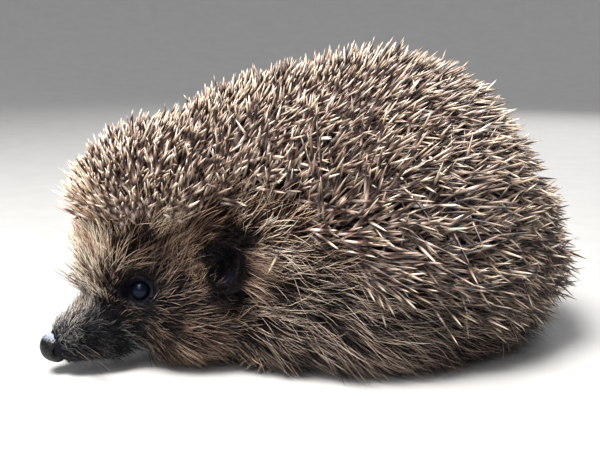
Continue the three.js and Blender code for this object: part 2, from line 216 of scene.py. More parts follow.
COAT = {
    "nose bridge": ((0, 13, 19), (0, 1, 0.5), 24, 3.8, 0.6, -1, 0.50),
    "snout top": ((0, 14, 23.5), (0, 0.3, 1), 44, 11, 0.5, -1, 0.60),
    "snout side": ((8, 18, 13), (0.1, 1, -0.3), 22, 2.6, 0.7, -1, 0.16),
    "snout rear": ((12, 27, 17), (0.15, 1, 0.1), 22, 3.8, 1, -1, 0.18),
    "chin": ((0, 15, 4), (0, 1, 0), 9, 2.2, 0.7, -1, 0.20),
    "chin rear": ((4, 26, 5), (0.1, 1, -0.75), 36, 7.5, 1.0, -1, 0.20),
    "under jaw": ((8, 36, 6), (0.1, 0.9, -0.4), 36, 10, 1.4, -1, 0.28),
    "stop low": ((0, 16.5, 27.5), (0, 0.1, 1), 50, 14, 0.2, -1, 0.66),
    "stop": ((0, 19, 31), (0, -0.1, 1), 58, 16.5, 0.5, -1, 0.80),
    "beside stop": ((7, 20.5, 32), (0.1, 0.2, 1), 34, 10, 1.0, -1, 0.78),
    "corner groove": ((10, 24.5, 24.5), (0.15, 0.8, 0.5), 20, 3.6, 1.1, -1, 0.05),
    "bridge side": ((4.5, 16, 24.5), (0.1, 0.3, 1), 32, 8, 0.6, -1, 0.60),
    "below eye": ((14.5, 35, 27), (0.2, 1, 0.05), 14, 4.2, 1.2, -1, 0.08),
    "under eye": ((14, 36, 22), (0.2, 1, 0.15), 16, 6, 1.2, -1, 0.22),
    "eye": ((15, 37, 34), (0.2, 0.8, 0.4), 18, 4, 1.2, -1, 0.18),
    "eye corner": ((10, 31, 33), (0.1, 0.6, 0.9), 18, 3.4, 1.2, -1, 0.05),
    "above eye": ((15, 34, 45), (0.15, 0.5, 1), 28, 12, 3, -1, 0.28),
    "forehead": ((0, 17.5, 42), (0, 0.05, 1), 38, 13.5, 2.4, -1, 0.94),
    "forehead side": ((11, 22, 43), (0.05, 0.35, 1), 26, 13, 3, -1, 0.92),
    "brow": ((9, 18, 50), (0.05, -0.05, 1), 38, 15, 3.2, -1, 0.94),
    "brow side": ((17, 27, 50), (0.1, 0.05, 1), 34, 15, 4, -1, 0.86),
    "temple": ((21, 46, 42), (0.15, 0.8, 0.7), 26, 12, 2.5, -1, 0.40),
    "temple top": ((22, 44, 54), (0.1, 0.15, 1), 32, 14, 4.5, -1, 0.72),
    "cheek": ((25, 52, 26), (0.1, 1, 0.2), 22, 13, 3, -1, 0.36),
    "before ear": ((25.5, 56.5, 42), (0.15, 0.35, 1), 24, 8.5, 2, -1, 0.64),
    "jaw": ((20, 48, 9), (0.1, 1, -0.15), 26, 13, 3, -1, 0.37),
    "jaw edge": ((10, 31, 7), (0.1, 1, -0.7), 40, 10, 1.4, -1, 0.22),
    "throat": ((0, 48, 4), (0, 1, 0), 22, 9, 2.5, -1, 0.44),
    "below ear": ((29.5, 63, 33), (0.15, 1, -0.1), 20, 7, 2.5, -1, 0.03),
    "behind ear": ((36, 76, 46), (0.25, 1, 0.15), 26, 17, 6, -1, 0.68),
    "before ear top": ((27, 60, 53), (0.2, 0.8, 0.7), 22, 8, 3, -1, 0.08),
    "over ear": ((33, 70, 58), (0.2, 0.7, 1), 32, 16, 7, -1, 0.66),
    "behind ear low": ((35, 75, 37), (0.2, 1, 0.05), 24, 14, 4.5, -1, 0.54),
    "neck": ((37, 80, 28), (0.2, 1, -0.1), 24, 17, 6, -1, 0.50),
    "chest": ((26, 84, 6), (0.1, 1, -0.2), 24, 14, 4, -1, 0.38),
    "skirt front": ((46, 100, 17), (0.15, 1, -0.35), 28, 22, 8, -1, 0.42),
    "skirt": ((57, 138, 13), (0.1, 1, -0.4), 28, 22, 8, -1, 0.34),
    "armpit": ((50, 100, 38), (0.15, 1, -0.05), 24, 20, 7, -1, 0.46),
    "skirt top": ((60, 124, 27), (0.1, 1, -0.15), 26, 23, 8, -1, 0.42),
    # skirt rear and under rump are painted dark: painted shade under the rump's overhang
    "skirt rear": ((46, 184, 12), (0.1, 0.9, -0.55), 30, 19, 8, -1, 0.12),
    "under rump": ((0, 208, 12), (0, 0.8, -0.6), 34, 14, 7, -1, 0.14),
    "belly front": ((0, 95, 6), (0, 1, 0), 24, 11, 3.5, -1, 0.34),
    "belly": ((0, 140, 8), (0, 1, 0), 26, 11, 3.5, -1, 0.36),
    "belly edge": ((42, 138, 4), (0.2, 1, -0.4), 24, 14, 4, -1, 0.28),
    "brow quills low": ((6, 18, 61), (0.05, -0.4, 1), 30, 15, 5, 1, 0.5),
    "brow quills": ((0, 19, 78), (0, -0.35, 1), 54, 16, 9.5, 1, 0.5),
    "brow quills side": ((19, 29, 62), (0.15, 0.05, 1), 30, 16, 6.0, 1, 0.5),
    "temple quills": ((27, 48, 64), (0.15, 0.2, 1), 28, 18, 6.5, 1, 0.5),
    "crown": ((0, 55, 98), (0, 1, 0.2), 56, 18, 13.4, 1, 0.5),
    "crown side": ((27, 52, 84), (0.3, 0.35, 1), 38, 20, 10.8, 1, 0.5),
    "above ear": ((37, 72, 74), (0.2, 0.6, 1), 32, 18, 9, 1, 0.5),
    "withers": ((0, 95, 114), (0, 1, 0.1), 60, 19, 15.5, 1, 0.5),
    "back": ((0, 140, 122), (0, 1, 0), 52, 20, 15, 1, 0.5),
    "loins": ((0, 185, 104), (0, 1, -0.6), 50, 16.5, 14.8, 1, 0.5),
    "croup": ((0, 204, 86), (0, 0.8, -0.9), 46, 14, 14.8, 1, 0.5),
    "rump": ((0, 221, 56), (0, 0.3, -1), 60, 15.5, 14.5, 1, 0.5),
    "rump side": ((30, 214, 60), (0.3, 0.7, -0.85), 40, 18, 14.5, 1, 0.5),
    "rump low": ((24, 212, 28), (0.2, 0.9, -0.9), 30, 20, 12, 1, 0.5),
    "shoulder": ((50, 96, 66), (0.1, 1, 0.5), 20, 25, 9, 1, 0.5),
    "flank high": ((45, 138, 102), (0.5, 1, 0.15), 32, 25, 12, 1, 0.5),
    "flank": ((65, 136, 62), (0, 1, 0.15), 15, 27, 9, 1, 0.5),
    "flank low": ((63, 138, 38), (0, 1, -0.25), 15, 26, 8, 1, 0.5),
    "flank low front": ((56, 112, 50), (0.1, 1, 0.15), 20, 22, 8, 1, 0.5),
    "haunch": ((54, 182, 62), (0.1, 1, -0.4), 19, 23, 11, 1, 0.5),
    "haunch low": ((52, 184, 34), (0.1, 1, -0.55), 18, 24, 8.5, 1, 0.5),
}
COAT_PLACES = np.array([at(*row[0]) for row in COAT.values()])
COAT_TRAITS = np.array([[*row[1], *row[2:]] for row in COAT.values()], float)
COAT_SOFTENING = 4.0


def coat_traits(points):
    """The coat at some points: each row of the table counts by 1 / (d^2 + s^2)^2 for its
    distance d. The way it lies is mirrored on the animal's right."""
    spread = ((on_left(points)[..., None, :] - COAT_PLACES) ** 2).sum(-1)
    weights = 1 / (spread + COAT_SOFTENING**2) ** 2
    traits = weights @ COAT_TRAITS / weights.sum(-1, keepdims=True)
    traits[..., 0] *= np.sign(points[..., 0])
    return traits


def split_traits(traits):
    """The table's columns by name."""
    names = ("lift", "length", "depth", "quilled", "shade")
    named = {name: traits[..., 3 + place] for place, name in enumerate(names)}
    named["lie"] = traits[..., :3]
    return named


# ---- Meshes -------------------------------------------------------------------------


def make_mesh(name, points, faces, maps, values=None):
    """An object from points in mm and arrays of faces, each with its places on the map
    of the unwrapped skin. Values are numbers held at the points, by name."""
    mesh = bpy.data.meshes.new(name)
    points = np.asarray(points, float).reshape(-1, 3)
    mesh.vertices.add(len(points))
    mesh.vertices.foreach_set("co", (points * MM).astype(np.float32).ravel())
    corners = np.concatenate([group.ravel() for group in faces])
    sizes = np.concatenate([np.full(len(group), group.shape[1]) for group in faces])
    mesh.loops.add(len(corners))
    mesh.loops.foreach_set("vertex_index", corners.astype(np.int32))
    mesh.polygons.add(len(sizes))
    starts = np.concatenate([[0], np.cumsum(sizes)[:-1]])
    mesh.polygons.foreach_set("loop_start", starts.astype(np.int32))
    mesh.polygons.foreach_set("use_smooth", np.ones(len(sizes), bool))
    mesh.update(calc_edges=True)
    layer = mesh.uv_layers.new(name="OFBake")
    places = np.concatenate([group.reshape(-1, 2) for group in maps])
    layer.uv.foreach_set("vector", places.astype(np.float32).ravel())
    for key, numbers in (values or {}).items():
        attribute = mesh.attributes.new(key, "FLOAT", "POINT")
        attribute.data.foreach_set("value", np.asarray(numbers, np.float32).ravel())
    thing = bpy.data.objects.new(name, mesh)
    bpy.context.scene.collection.objects.link(thing)
    return thing


def between_rings(near, far, side, after):
    """Four sided faces from the rings whose first points are near to those at far."""
    return np.stack([near + side, far + side, far + after, near + after], -1).reshape(-1, 4)


def on_map(*corners):
    """The corners of faces on the map, from each corner's two arrays of places."""
    places = np.stack([np.stack(np.broadcast_arrays(u, v), -1) for u, v in corners], -2)
    return places.reshape(-1, len(corners), 2)


def closed_grid(grid, start, end, area):
    """A closed shape from rings of points: fans to the start and end points, and four
    sided faces between the rings. area is its rectangle on the map."""
    rings, sides = grid.shape[:2]
    side = np.arange(sides)
    after = (side + 1) % sides
    ring = np.arange(rings)[:, None]
    starts = 1 + ring * sides
    low_u, low_v, high_u, high_v = area
    rows = low_v + (high_v - low_v) * (ring + 1) / (rings + 1)
    left = low_u + (high_u - low_u) * (side / sides)
    right = low_u + (high_u - low_u) * ((side + 1) / sides)
    middle = (left + right) / 2
    points = np.concatenate([np.reshape(start, (1, 3)), grid.reshape(-1, 3), np.reshape(end, (1, 3))])
    faces = [
        between_rings(starts[:-1], starts[1:], side, after),
        np.stack([0 * side, starts[0] + side, starts[0] + after], -1),
        np.stack([0 * side + len(points) - 1, starts[-1] + after, starts[-1] + side], -1),
    ]
    near, far = rows[:-1], rows[1:]
    maps = [
        on_map((left, near), (left, far), (right, far), (right, near)),
        on_map((middle, low_v), (left, rows[0]), (right, rows[0])),
        on_map((middle, high_v), (right, rows[-1]), (left, rows[-1])),
    ]
    return points, faces, maps


def ring_shape(grid, area):
    """A closed ring: the rings of points join the last to the first, with no ends."""
    rings, sides = grid.shape[:2]
    side = np.arange(sides)
    ring = np.arange(rings)[:, None]
    low_u, low_v, high_u, high_v = area
    left, right = (low_u + (high_u - low_u) * edge / sides for edge in (side, side + 1))
    near, far = (low_v + (high_v - low_v) * edge / rings for edge in (ring, ring + 1))
    faces = between_rings(ring * sides, (ring + 1) % rings * sides, side, (side + 1) % sides)
    maps = on_map((left, near), (left, far), (right, far), (right, near))
    return grid.reshape(-1, 3), [faces], [maps]


class Shells:
    """Closed shapes, each with numbers held at its points, gathered into one mesh."""

    def __init__(self):
        self.points, self.faces, self.maps, self.values, self.count = [], [], [], [], 0

    def add(self, shape, **values):
        """Adds a shape's points, faces and maps."""
        points, faces, maps = shape
        self.points.append(points)
        self.faces += [group + self.count for group in faces]
        self.maps += maps
        self.values.append({key: np.zeros(len(points)) + value for key, value in values.items()})
        self.count += len(points)

    def finish(self, name):
        """Makes the mesh."""
        return make_mesh(name, np.concatenate(self.points), self.faces, self.maps, gathered(self.values))


# ---- The skin -------------------------------------------------------------------------
# Rays leave a path that runs from the muzzle to the rump. At each stop of the path: how
# far behind the nose and above the floor it is, how far down its front points, how far
# the rays open forwards (90 is straight ahead), and the number of rings to the next stop.

SKIN_PATH = [
    (16, 13.5, 15, 88, 16),
    (16, 13.5, 15, 0, 16),
    (24, 16.5, 22, 0, 46),
    (38, 24, 50, 0, 70),
    (62, 46, 22, 0, 28),
    (100, 52, 0, 0, 24),
    (150, 50, 0, 0, 34),
    (158, 46, 0, -89, 0),
]
SKIN_SIDES = 256
RAY_STEP = 1.5
RAY_REACH = 96
HALVINGS = 12
SKIN_AREA = (0.005, 0.005, 0.995, 0.82)


def rays(stops):
    """Origins and directions of the rings' rays: direction = cos o (cos a X + sin a U) +
    sin o F, with F the path's front, U square to it and o the opening."""
    stops = np.array(stops, float)
    ring_at = np.concatenate([[0], np.cumsum(stops[:-1, 4])])
    rings = np.arange(int(ring_at[-1]) + 1)
    back, height, pitch, opening = (np.interp(rings, ring_at, stops[:, k]) for k in range(4))
    pitch, opening = np.radians(pitch)[:, None], np.radians(opening)[:, None]
    angle = round_turn(SKIN_SIDES) - math.pi / 2
    nothing = 0 * pitch
    forward = np.stack([nothing, -np.cos(pitch), -np.sin(pitch)], -1)
    upward = np.stack([nothing, -np.sin(pitch), np.cos(pitch)], -1)
    across = np.stack([nothing + 1, nothing, nothing], -1)
    turn = angle[None, :, None]
    round_path = np.cos(turn) * across + np.sin(turn) * upward
    directions = np.cos(opening)[..., None] * round_path + np.sin(opening)[..., None] * forward
    origins = np.stack([0 * back, NOSE_TIP + back, height], -1)[:, None, :]
    return origins + 0 * directions, directions


def leaving(origins, directions, field, near, far):
    """The place on each ray, between near and far, where a field turns positive, found
    by halving."""
    for _ in range(HALVINGS):
        middle = (near + far) / 2
        outside = field(origins + directions * middle[..., None]) > 0
        far = np.where(outside, middle, far)
        near = np.where(outside, near, middle)
    return near


def leaving_skin(origins, directions):
    """The place on each ray where it leaves the skin, the surface that lies the coat's
    depth inside the coat's outline. Each ray is first walked out through that outline."""
    shape = directions.shape[:-1]
    near = np.full(shape, float(RAY_STEP))
    going = np.ones(shape, bool)
    for distance in np.arange(RAY_STEP, RAY_REACH, RAY_STEP):
        going &= coat_field(origins + directions * distance) <= 0
        near = np.where(going, distance, near)
        if not going.any():
            break
    outline = leaving(origins, directions, coat_field, near, near + RAY_STEP)
    depth = split_traits(coat_traits(origins + directions * outline[..., None]))["depth"]

    def skin_field(points):
        return coat_field(points) + depth

    return leaving(origins, directions, skin_field, 0 * near, outline)


def grid_normals(grid):
    """Outward normals of a closed grid: the way along the rings crossed with the way
    round them."""
    along = np.gradient(grid, axis=0)
    around = np.roll(grid, -1, axis=1) - np.roll(grid, 1, axis=1)
    return unit(np.cross(along, around))


EYE_CENTRE = at(11.6, 37.5, 33.4)
EYE_RADIUS = 4.2
EYE_LOOK = unit(np.array([0.88, -0.42, 0.14]))
EAR_CENTRE = at(28.6, 65.0, 44.0)
EAR_FACING = unit(np.array([0.86, -0.46, 0.12]))
EAR_UP = (0.1, 0.25, 1.0)
SOCKET_FLOOR = 1.2
SOCKET_RIM = 7.5
SOCKET_LIP = 3.9
CHIN_RAISED = 1.8
CHIN_HEIGHTS = (9, 5)
CHIN_REACH = (36, 26)
MOUTH_FRONT = at(0, 5, 6.2)
MOUTH_CORNER = at(0, 31, 11.0)
MOUTH_DEPTH = 0.6
MOUTH_WIDTH = 0.55
FOLDS = ((0.12, 3.0, 5), (0.25, 9.0, 6))  # depth, size and seed of the skin's fine folds
FOLD_SHARE = 0.6


def shaped_face(grid):
    """The skin with its sockets and mouth. Round each eye a point's height along the
    eye's look eases down to the socket's floor; the chin is raised; along the mouth the
    skin sinks by a narrow bell of its distance from the line."""
    for side in (LEFT, RIGHT):
        look = mirrored(EYE_LOOK, side)
        away = grid - mirrored(EYE_CENTRE, side)
        height = (away @ look)[..., None]
        radius = np.linalg.norm(away - height * look, axis=-1)
        ease = 1 - smoothstep(SOCKET_LIP, SOCKET_RIM, radius)
        sink = ease * np.maximum(height[..., 0] - SOCKET_FLOOR, 0) * (height[..., 0] > 0)
        grid = grid - sink[..., None] * look
    low = smoothstep(*CHIN_HEIGHTS, grid[..., 2]) * smoothstep(*CHIN_REACH, grid[..., 1] - NOSE_TIP)
    grid = grid + (CHIN_RAISED * low)[..., None] * [0, 0, 1]
    run = MOUTH_CORNER - MOUTH_FRONT
    share = ((grid - MOUTH_FRONT) @ run / (run @ run)).clip(0, 1)
    across = (grid - MOUTH_FRONT - share[..., None] * run) * [0, 1, 1]
    groove = MOUTH_DEPTH * bell(np.linalg.norm(across, axis=-1), MOUTH_WIDTH)
    return grid - groove[..., None] * grid_normals(grid)


def build_skin_grid():
    """The skin's rings of points, its normals and the places of its poles."""
    origins, directions = rays(SKIN_PATH)
    grid = shaped_face(origins + directions * leaving_skin(origins, directions)[..., None])
    folds = sum(depth * ripple(grid, size, seed) for depth, size, seed in FOLDS)
    grid = grid + folds[..., None] * grid_normals(grid) * FOLD_SHARE
    return grid, grid_normals(grid)


skin_grid, skin_normals = build_skin_grid()


# ---- Roots of the coat ------------------------------------------------------------------

EVEN_STEPS = (0.7548776662466927, 0.5698402909980532)  # 1 / p and 1 / p^2, where p^3 = p + 1
ROOT_SCATTER = 0.35


def cell_areas(grid):
    """The area of each face of the closed grid."""
    after = np.roll(grid, -1, axis=1)
    first = np.cross(grid[1:] - grid[:-1], after[:-1] - grid[:-1])
    second = np.cross(after[:-1] - after[1:], grid[1:] - after[1:])
    return (np.linalg.norm(first, axis=-1) + np.linalg.norm(second, axis=-1)) / 2


SKIN_AREAS = cell_areas(skin_grid)
CELL_MIDDLES = (skin_grid[1:] + np.roll(skin_grid, -1, axis=1)[:-1]) / 2
CELL_TRAITS = split_traits(coat_traits(CELL_MIDDLES))


def scatter(density, count, seed):
    """Evenly spread roots. Pairs that grow by even steps fill a square evenly, each moved
    a little at random, and are carried to the skin so that the roots in a cell follow
    its area times its density."""
    weights = SKIN_AREAS * density
    per_ring = np.concatenate([[0], np.cumsum(weights.sum(1))])
    within = np.cumsum(weights, axis=1)
    rng = np.random.default_rng(seed)
    steps = np.arange(count)[:, None] * EVEN_STEPS + rng.uniform(size=2)
    steps = (steps + rng.uniform(-ROOT_SCATTER, ROOT_SCATTER, (count, 2)) / math.sqrt(count)) % 1
    down = steps[:, 0] * per_ring[-1]
    ring = np.clip(np.searchsorted(per_ring, down, side="right") - 1, 0, len(weights) - 1)
    share = (down - per_ring[ring]) / np.maximum(weights[ring].sum(1), 1e-9)
    target = steps[:, 1] * within[ring, -1]
    cell = np.clip((within[ring] < target[:, None]).sum(1), 0, SKIN_SIDES - 1)
    before = np.where(cell > 0, within[ring, cell - 1], 0)
    portion = np.clip((target - before) / np.maximum(weights[ring, cell], 1e-9), 0, 1)
    after = (cell + 1) % SKIN_SIDES

    def across(row):
        return skin_grid[row, cell] * (1 - portion[:, None]) + skin_grid[row, after] * portion[:, None]

    position = across(ring) * (1 - share[:, None]) + across(ring + 1) * share[:, None]
    places = np.stack([(cell + portion) / SKIN_SIDES, (ring + 1 + share) / (len(skin_grid) + 1)], -1)
    return {"position": position, "normal": outline_normals(position), "place": places}


QUILL_PROFILE = [(0, 0.65), (0.28, 1), (0.68, 0.94), (0.90, 0.5)]
HAIR_PROFILE = [(0, 1), (0.4, 0.85), (0.75, 0.5)]
WHISKER_PROFILE = [(0, 1), (0.3, 0.9), (0.55, 0.72), (0.8, 0.45)]
SHORT_PROFILE = [(0, 1), (0.55, 0.65)]
PATCH = 0.003
MAP_EDGE = 0.01


def strands(name, roots, places, directions, bends, lengths, widths, profile, sides, values):
    """Closed, tapered strands in one mesh. A strand's middle runs root + L (t d + t^2 b),
    for its length L, direction d and bend b, and its radius follows the profile to a
    point. Each strand is one small patch of the map, at its root's place."""
    count = len(roots)
    shares = np.array([share for share, _ in profile])
    radii = np.array([radius for _, radius in profile])
    helper = np.where(np.abs(directions[:, 2:]) < 0.9, [[0, 0, 1.0]], [[1.0, 0, 0]])
    across = unit(np.cross(helper, directions))
    beside = np.cross(directions, across)

    def middle(share):
        return lengths[:, None] * (share * directions + share**2 * bends)

    turn = round_turn(sides)[None, :, None]
    spokes = np.cos(turn) * across[:, None] + np.sin(turn) * beside[:, None]
    rings = [
        (roots + middle(share))[:, None] + spokes * (widths / 2 * radius)[:, None, None]
        for share, radius in zip(shares, radii)
    ]
    tips = (roots + middle(1.0))[:, None]
    points = np.concatenate([*rings, tips], axis=1)
    points[..., 2] = np.maximum(points[..., 2], FLOOR_CLEARANCE)
    size = points.shape[1]
    side = np.arange(sides)
    after = (side + 1) % sides
    starts = (np.arange(len(profile) - 1) * sides)[:, None]
    quads = np.stack([starts + side, starts + after, starts + sides + after, starts + sides + side], -1)
    last = (len(profile) - 1) * sides
    ends = np.stack([last + side, last + after, 0 * side + last + sides], -1)
    groups = [quads.reshape(-1, 4), ends, side[::-1][None]]
    base = (np.arange(count) * size)[:, None, None]
    faces = [(group[None] + base).reshape(-1, group.shape[1]) for group in groups]
    along = np.concatenate([np.repeat(shares, sides), [1.0]])
    wide = np.concatenate([np.tile(side / (sides - 1) - 0.5, len(profile)), [0.0]])
    low, high = places.min(0), places.max(0)
    centres = MAP_EDGE + (1 - 2 * MAP_EDGE) * (places - low) / np.maximum(high - low, 1e-9)
    patch = centres[:, None] + PATCH * np.stack([wide, along - 0.5], -1)[None]
    patch = patch.reshape(-1, 2)
    held = {key: np.repeat(numbers, size) for key, numbers in values.items()}
    held["along"] = np.tile(along, count)
    return make_mesh(name, points, faces, [patch[group] for group in faces], held)


EYE_CORNER = EYE_CENTRE + [-2.0, -4.4, -1.3]
EAR_NOTCH = EAR_CENTRE + [0, 1.5, -9.5]
HOLLOWS = [  # what the coat leaves bare: middle, facing, bare radius, how far round it hair turns aside
    (mirrored(middle, side), mirrored(facing, side), bare, reach)
    for side in (LEFT, RIGHT)
    for middle, facing, bare, reach in (
        (EYE_CENTRE, EYE_LOOK, 5.3, 8.5),
        (EYE_CORNER, EYE_LOOK, 3.4, 6),
        (EAR_CENTRE, EAR_FACING, 7.6, 17),
        (EAR_NOTCH, EAR_FACING, 3.0, 9),
    )
]
HOLLOW_DEPTH = 12
FAR_OFF = 99.0
TURNED_ASIDE = 1.1
NOSE_CENTRE = at(0, 5.6, 11.0)
NOSE_RADII = np.array([5.3, 5.4, 5.7])
NOSE_CLEAR = 0.1
NOSE_BARE = 7.4
NOSE_LEAN = 0.25
NOSE_TOP = 8


def outward_from(hollow, points):
    """How far points lie from a hollow's axis, in its bare radii, and the way out."""
    middle, facing, bare, _ = hollow
    away = points - middle
    flat = away - dot(away, facing) * facing
    near = np.abs(away @ facing) < HOLLOW_DEPTH
    return np.where(near, np.linalg.norm(flat, axis=-1), FAR_OFF) / bare, unit(flat)


def parted(points, lie):
    """The lie turned aside in front of each hollow: the part that runs towards it is
    taken out near its edge."""
    for hollow in HOLLOWS:
        *_, bare, reach = hollow
        radius, outward = outward_from(hollow, points)
        towards = np.minimum(dot(lie, outward), 0)
        share = (1 - smoothstep(1, reach / bare, radius))[:, None]
        lie = lie - towards * outward * share * TURNED_ASIDE
    return unit(lie)


def tufts_may_grow(points):
    """True outside the hollows, clear of the nose pad and behind a ragged line that leans
    forwards up the nose."""
    bare = np.array([outward_from(hollow, points)[0] < 1 for hollow in HOLLOWS]).any(0)
    on_nose = np.linalg.norm((points - NOSE_CENTRE) / (NOSE_RADII + NOSE_CLEAR), axis=-1) < 1
    ragged = NOSE_BARE + 0.5 * ripple(points, 2.2, 47)
    leaning = NOSE_LEAN * (points[:, 2] - NOSE_CENTRE[2]).clip(0, NOSE_TOP)
    return ~bare & ~on_nose & (points[:, 1] - NOSE_TIP > ragged - leaning)


BRIDGE = at(0, 15, 24)
BRIDGE_WARMTH = 0.75
BRIDGE_WIDTH = 5
SKIRT_GREYED = 0.45
CHEEK_GREYED = 0.2
EYE_GREYED = 0.6
EYE_GREY_WIDTH = 10


def warmth(points):
    """0 on the grey-black snout, 1 on the brown brow and back, less low on the face, on the
    skirt and round the eyes, and mostly brown on the snout's bridge."""
    behind, height = points[:, 1] - NOSE_TIP, points[:, 2]
    skirt = smoothstep(50, 90, behind) * smoothstep(58, 36, height)
    cheek = smoothstep(48, 28, height) * smoothstep(90, 60, behind)
    by_eye = bell(np.linalg.norm(on_left(points) - EYE_CENTRE, axis=-1), EYE_GREY_WIDTH)
    warm = smoothstep(24, 44, behind + height - 16) * (1 - SKIRT_GREYED * skirt)
    warm = warm * (1 - CHEEK_GREYED * cheek) * (1 - EYE_GREYED * by_eye)
    return np.maximum(warm, BRIDGE_WARMTH * bell(np.linalg.norm(points - BRIDGE, axis=-1), BRIDGE_WIDTH))


PALE_STRAND = 0.22
DARK_STRAND = -0.30
STRAND_SPREADS = {"length": (0.75, 1.1), "scale": (0.75, 1.2), "width": (0.75, 1.25)}
LIFT_LIMITS = (0.05, 1.5)
ROOT_SUNK = 0.4
SETTLING = 0.3
DRAWN_TOGETHER = 0.6
DROOP = 0.04


def tufts(name, density, count, per_tuft, seed, profile, width, loose, size, spread, pale, raised, contrast):
    """Hair in tufts. The strands of a tuft share its lie and lift; they start a little
    apart, differ a little, and draw together towards its tip. Looseness scales how much
    they differ, and contrast how far the pale strands stand out from the dark ones."""
    rng = np.random.default_rng(seed)
    root = scatter(density, count, seed)
    kept = tufts_may_grow(root["position"])
    root = {key: numbers[kept] for key, numbers in root.items()}
    count = len(root["position"])
    traits = split_traits(coat_traits(root["position"]))
    normal = root["normal"]
    lie = traits["lie"] - dot(traits["lie"], normal) * normal
    lie = parted(root["position"], unit(lie))
    sway = loose * (0.16 * ripple(root["position"], 16, seed + 1) + rng.normal(0, 0.17, count))
    lie = turned_about(lie, normal, sway)
    lift = np.radians(traits["lift"] + raised + loose * rng.normal(0, 6, count)).clip(*LIFT_LIMITS)
    scale = size * rng.uniform(*STRAND_SPREADS["scale"], count)
    shade = traits["shade"] + rng.normal(0, 0.06, count) + 0.05 * ripple(root["position"], 11, seed + 2)

    def per_strand(numbers):
        return np.repeat(numbers, per_tuft, axis=0)

    total = count * per_tuft
    normals, lies = per_strand(normal), per_strand(lie)
    beside = np.cross(normals, lies)
    offset = rng.normal(0, 0.5, (total, 2)) * spread
    shift = offset[:, :1] * lies + offset[:, 1:] * beside
    lifts = per_strand(lift) + rng.normal(0, 0.09, total) * loose
    lies = turned_about(lies, normals, rng.normal(0, 0.11, total) * loose)
    directions = np.cos(lifts)[:, None] * lies + np.sin(lifts)[:, None] * normals
    lengths = per_strand(traits["length"] * scale) * rng.uniform(*STRAND_SPREADS["length"], total)
    curl = rng.normal(0, 0.19, (total, 1)) * loose
    settle = -SETTLING * np.sin(lifts)[:, None] * normals
    together = -DRAWN_TOGETHER * shift / np.maximum(lengths, 1)[:, None]
    bends = settle + curl * beside + together + [0, 0, -DROOP]
    widths = width * rng.uniform(*STRAND_SPREADS["width"], total)
    roots = per_strand(root["position"]) + shift - ROOT_SUNK * normals
    stands_out = contrast * np.where(rng.uniform(size=total) < pale, PALE_STRAND, DARK_STRAND)
    values = {
        "shade": per_strand(shade) + stands_out + rng.normal(0, 0.06, total),
        "warm": warmth(roots),
    }
    places = per_strand(root["place"])
    return strands(name, roots, places, directions, bends, lengths, widths, profile, 3, values)


# ---- Quills ---------------------------------------------------------------------------

QUILL_COUNT = 9000
QUILL_PIECES = 3
QUILL_SIDES = 5
QUILL_WIDTH = 1.17
QUILL_SUNK = 0.8
QUILL_LIFTS = (10, 86)
GROUP_SIZE = 11
GROUP_SWAY, OWN_SWAY = 0.36, 0.46
GROUP_LIFT, OWN_LIFT = 6, 10
BROW_TOP = at(0, 24, 74)
BROW_CROWDED = 0.7
BROW_THICKER = 0.08


def quills_grow():
    """How many quills each face of the skin carries: where the coat is quilled, with a
    ragged edge, and more of them at the top of the brow."""
    ragged = CELL_TRAITS["quilled"] + 0.10 * ripple(CELL_MIDDLES, 9, 3)
    from_brow = np.linalg.norm((CELL_MIDDLES - BROW_TOP) / [1.6, 1, 1], axis=-1)
    return smoothstep(-0.04, 0.14, ragged) * (1 + BROW_CROWDED * bell(from_brow, 20))


def build_quills():
    """Quills in small groups that lean one way, each a little off its group, so that
    neighbours cross. The lowest ones, beside the hair, are thinner, calmer and darker;
    low at the rear the darkening is painted shade under the rump. The lower flank's are
    a little darker than the back's, as painted shade towards the bottom."""
    rng = np.random.default_rng(21)
    root = scatter(quills_grow(), QUILL_COUNT, 20)
    position, normal = root["position"], root["normal"]
    behind, height = position[:, 1] - NOSE_TIP, position[:, 2]
    traits = split_traits(coat_traits(position))
    lie = unit(traits["lie"] - dot(traits["lie"], normal) * normal)
    # low at the rear, under the rump, the darkening by low below is painted shade
    rear_low = smoothstep(62, 30, height) * smoothstep(110, 165, behind)
    low = np.maximum(rear_low, smoothstep(62, 50, height) * smoothstep(0.7, 0.1, traits["quilled"]))
    sway = GROUP_SWAY * ripple(position, GROUP_SIZE, 31) + rng.normal(0, OWN_SWAY, QUILL_COUNT)
    lie = turned_about(lie, normal, sway * (1 - 0.45 * low))
    lift = traits["lift"] + GROUP_LIFT * ripple(position, 12, 32) + rng.normal(0, OWN_LIFT, QUILL_COUNT)
    lift = np.radians(lift.clip(*QUILL_LIFTS))
    directions = np.cos(lift)[:, None] * lie + np.sin(lift)[:, None] * normal
    lengths = traits["length"] * rng.uniform(0.84, 1.16, QUILL_COUNT)
    bends = -0.10 * np.sin(lift)[:, None] * normal + rng.normal(0, 0.03, (QUILL_COUNT, 3))
    widths = QUILL_WIDTH * rng.uniform(0.8, 1.2, QUILL_COUNT)
    widths *= 1 + BROW_THICKER * bell(np.linalg.norm(position - BROW_TOP, axis=-1), 32)
    widths *= 1 - 0.3 * low
    shade = 0.5 + rng.normal(0, 0.25, QUILL_COUNT) * (1 + 0.9 * low) - 0.18 * low
    # painted shade: quills are darkened down the flank, lower ones darker
    shade -= 0.16 * smoothstep(95, 55, height) * smoothstep(65, 95, behind)
    values = {"shade": shade, "chance": rng.uniform(size=QUILL_COUNT)}
    pieces = []
    for piece in range(QUILL_PIECES):
        part = slice(piece, None, QUILL_PIECES)
        held = {key: numbers[part] for key, numbers in values.items()}
        pieces.append(strands(
            f"quills_{piece + 1}", position[part] - QUILL_SUNK * normal[part], root["place"][part],
            directions[part], bends[part], lengths[part], widths[part], QUILL_PROFILE, QUILL_SIDES, held,
        ))
    return pieces


# ---- Fur ------------------------------------------------------------------------------


